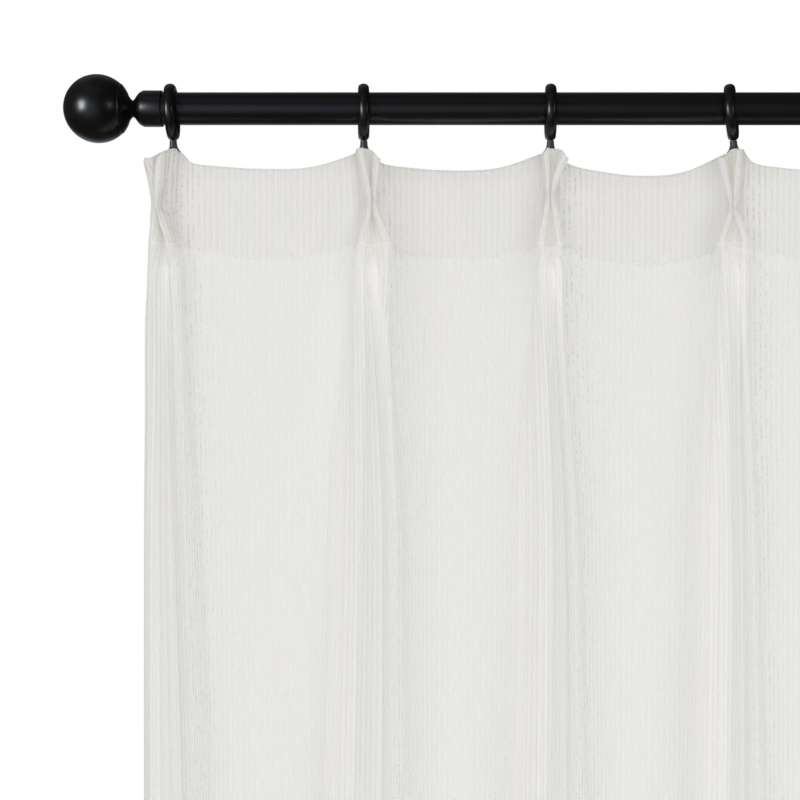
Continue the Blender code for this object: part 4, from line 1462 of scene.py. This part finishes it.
def make_camera():
    data = bpy.data.cameras.new("photo_camera")
    data.sensor_width = SENSOR
    data.lens = LENS
    data.clip_start, data.clip_end = 0.05, 50
    camera = bpy.data.objects.new("photo_camera", data)
    middle = PHOTO_SIZE / 2
    camera.location = (HOOK_X[0] + (middle - FIRST_HOOK_COLUMN) * PHOTO_SCALE, -CAMERA_DISTANCE,
                       -(middle - ROD_ROW) * PHOTO_SCALE)
    camera.rotation_euler = (math.radians(90), 0, 0)
    bpy.context.scene.collection.objects.link(camera)
    bpy.context.scene.camera = camera


# ------------------------------------------------------------------ operators and panel

class CURTAIN_OT_rod(bpy.types.Operator):
    """Turns the rod"""
    bl_idname = "curtain.rod"
    bl_label = "Rod"

    def execute(self, context):
        make_rod()
        return {"FINISHED"}


class CURTAIN_OT_knobs(bpy.types.Operator):
    """Turns the two end knobs and fits their grub screws"""
    bl_idname = "curtain.knobs"
    bl_label = "Knobs"

    def execute(self, context):
        make_knobs()
        return {"FINISHED"}


class CURTAIN_OT_rings(bpy.types.Operator):
    """Hangs the rings and their screw eyes"""
    bl_idname = "curtain.rings"
    bl_label = "Rings and eyes"

    def execute(self, context):
        make_rings()
        return {"FINISHED"}


class CURTAIN_OT_hooks(bpy.types.Operator):
    """Bends the pleat hooks"""
    bl_idname = "curtain.hooks"
    bl_label = "Hooks"

    def execute(self, context):
        make_hooks()
        return {"FINISHED"}


class CURTAIN_OT_panel(bpy.types.Operator):
    """Hangs the voile panel in its folds"""
    bl_idname = "curtain.panel"
    bl_label = "Voile panel"

    def execute(self, context):
        make_panel()
        return {"FINISHED"}


class CURTAIN_OT_heading(bpy.types.Operator):
    """Folds the heading tape behind the panel's top"""
    bl_idname = "curtain.heading"
    bl_label = "Heading tape"

    def execute(self, context):
        make_heading_tape()
        return {"FINISHED"}


class CURTAIN_OT_sewing(bpy.types.Operator):
    """Sews the seams and the tacks that pinch the pleats"""
    bl_idname = "curtain.sewing"
    bl_label = "Stitches and tacks"

    def execute(self, context):
        make_stitch_rows()
        make_tacks()
        return {"FINISHED"}


class CURTAIN_OT_stage(bpy.types.Operator):
    """Sets the floor, light and camera"""
    bl_idname = "curtain.stage"
    bl_label = "Stage"

    def execute(self, context):
        make_floor()
        make_world()
        make_lights()
        make_camera()
        context.scene.view_settings.view_transform = "Standard"
        context.scene.cycles.diffuse_bounces = LIGHT_BOUNCES
        return {"FINISHED"}


OPERATORS = (CURTAIN_OT_rod, CURTAIN_OT_knobs, CURTAIN_OT_rings, CURTAIN_OT_hooks,
             CURTAIN_OT_panel, CURTAIN_OT_heading, CURTAIN_OT_sewing, CURTAIN_OT_stage)


class CURTAIN_PT_pieces(bpy.types.Panel):
    """Every step of the curtain, in order"""
    bl_idname = "CURTAIN_PT_pieces"
    bl_label = "Curtain"
    bl_space_type = "VIEW_3D"
    bl_region_type = "UI"
    bl_category = "Curtain"

    def draw(self, context):
        for step in OPERATORS:
            self.layout.operator(step.bl_idname)
        for settings in SETTINGS:
            group = getattr(context.scene, settings)
            for name in SETTINGS[settings].__annotations__:
                self.layout.prop(group, name)


SETTINGS = {"curtain_cloth": ClothSettings, "curtain_metal": MetalSettings,
            "curtain_stage": StageSettings}


def register():
    for kind in (*SETTINGS.values(), *OPERATORS, CURTAIN_PT_pieces):
        bpy.utils.register_class(kind)
    for name, kind in SETTINGS.items():
        setattr(bpy.types.Scene, name, PointerProperty(type=kind))


def unregister():
    for name in SETTINGS:
        delattr(bpy.types.Scene, name)
    for kind in (CURTAIN_PT_pieces, *OPERATORS, *SETTINGS.values()):
        bpy.utils.unregister_class(kind)


def main():
    register()
    bpy.ops.curtain.rod()
    bpy.ops.curtain.knobs()
    bpy.ops.curtain.rings()
    bpy.ops.curtain.hooks()
    bpy.ops.curtain.panel()
    bpy.ops.curtain.heading()
    bpy.ops.curtain.sewing()
    bpy.ops.curtain.stage()


if __name__ == "__main__":
    main()
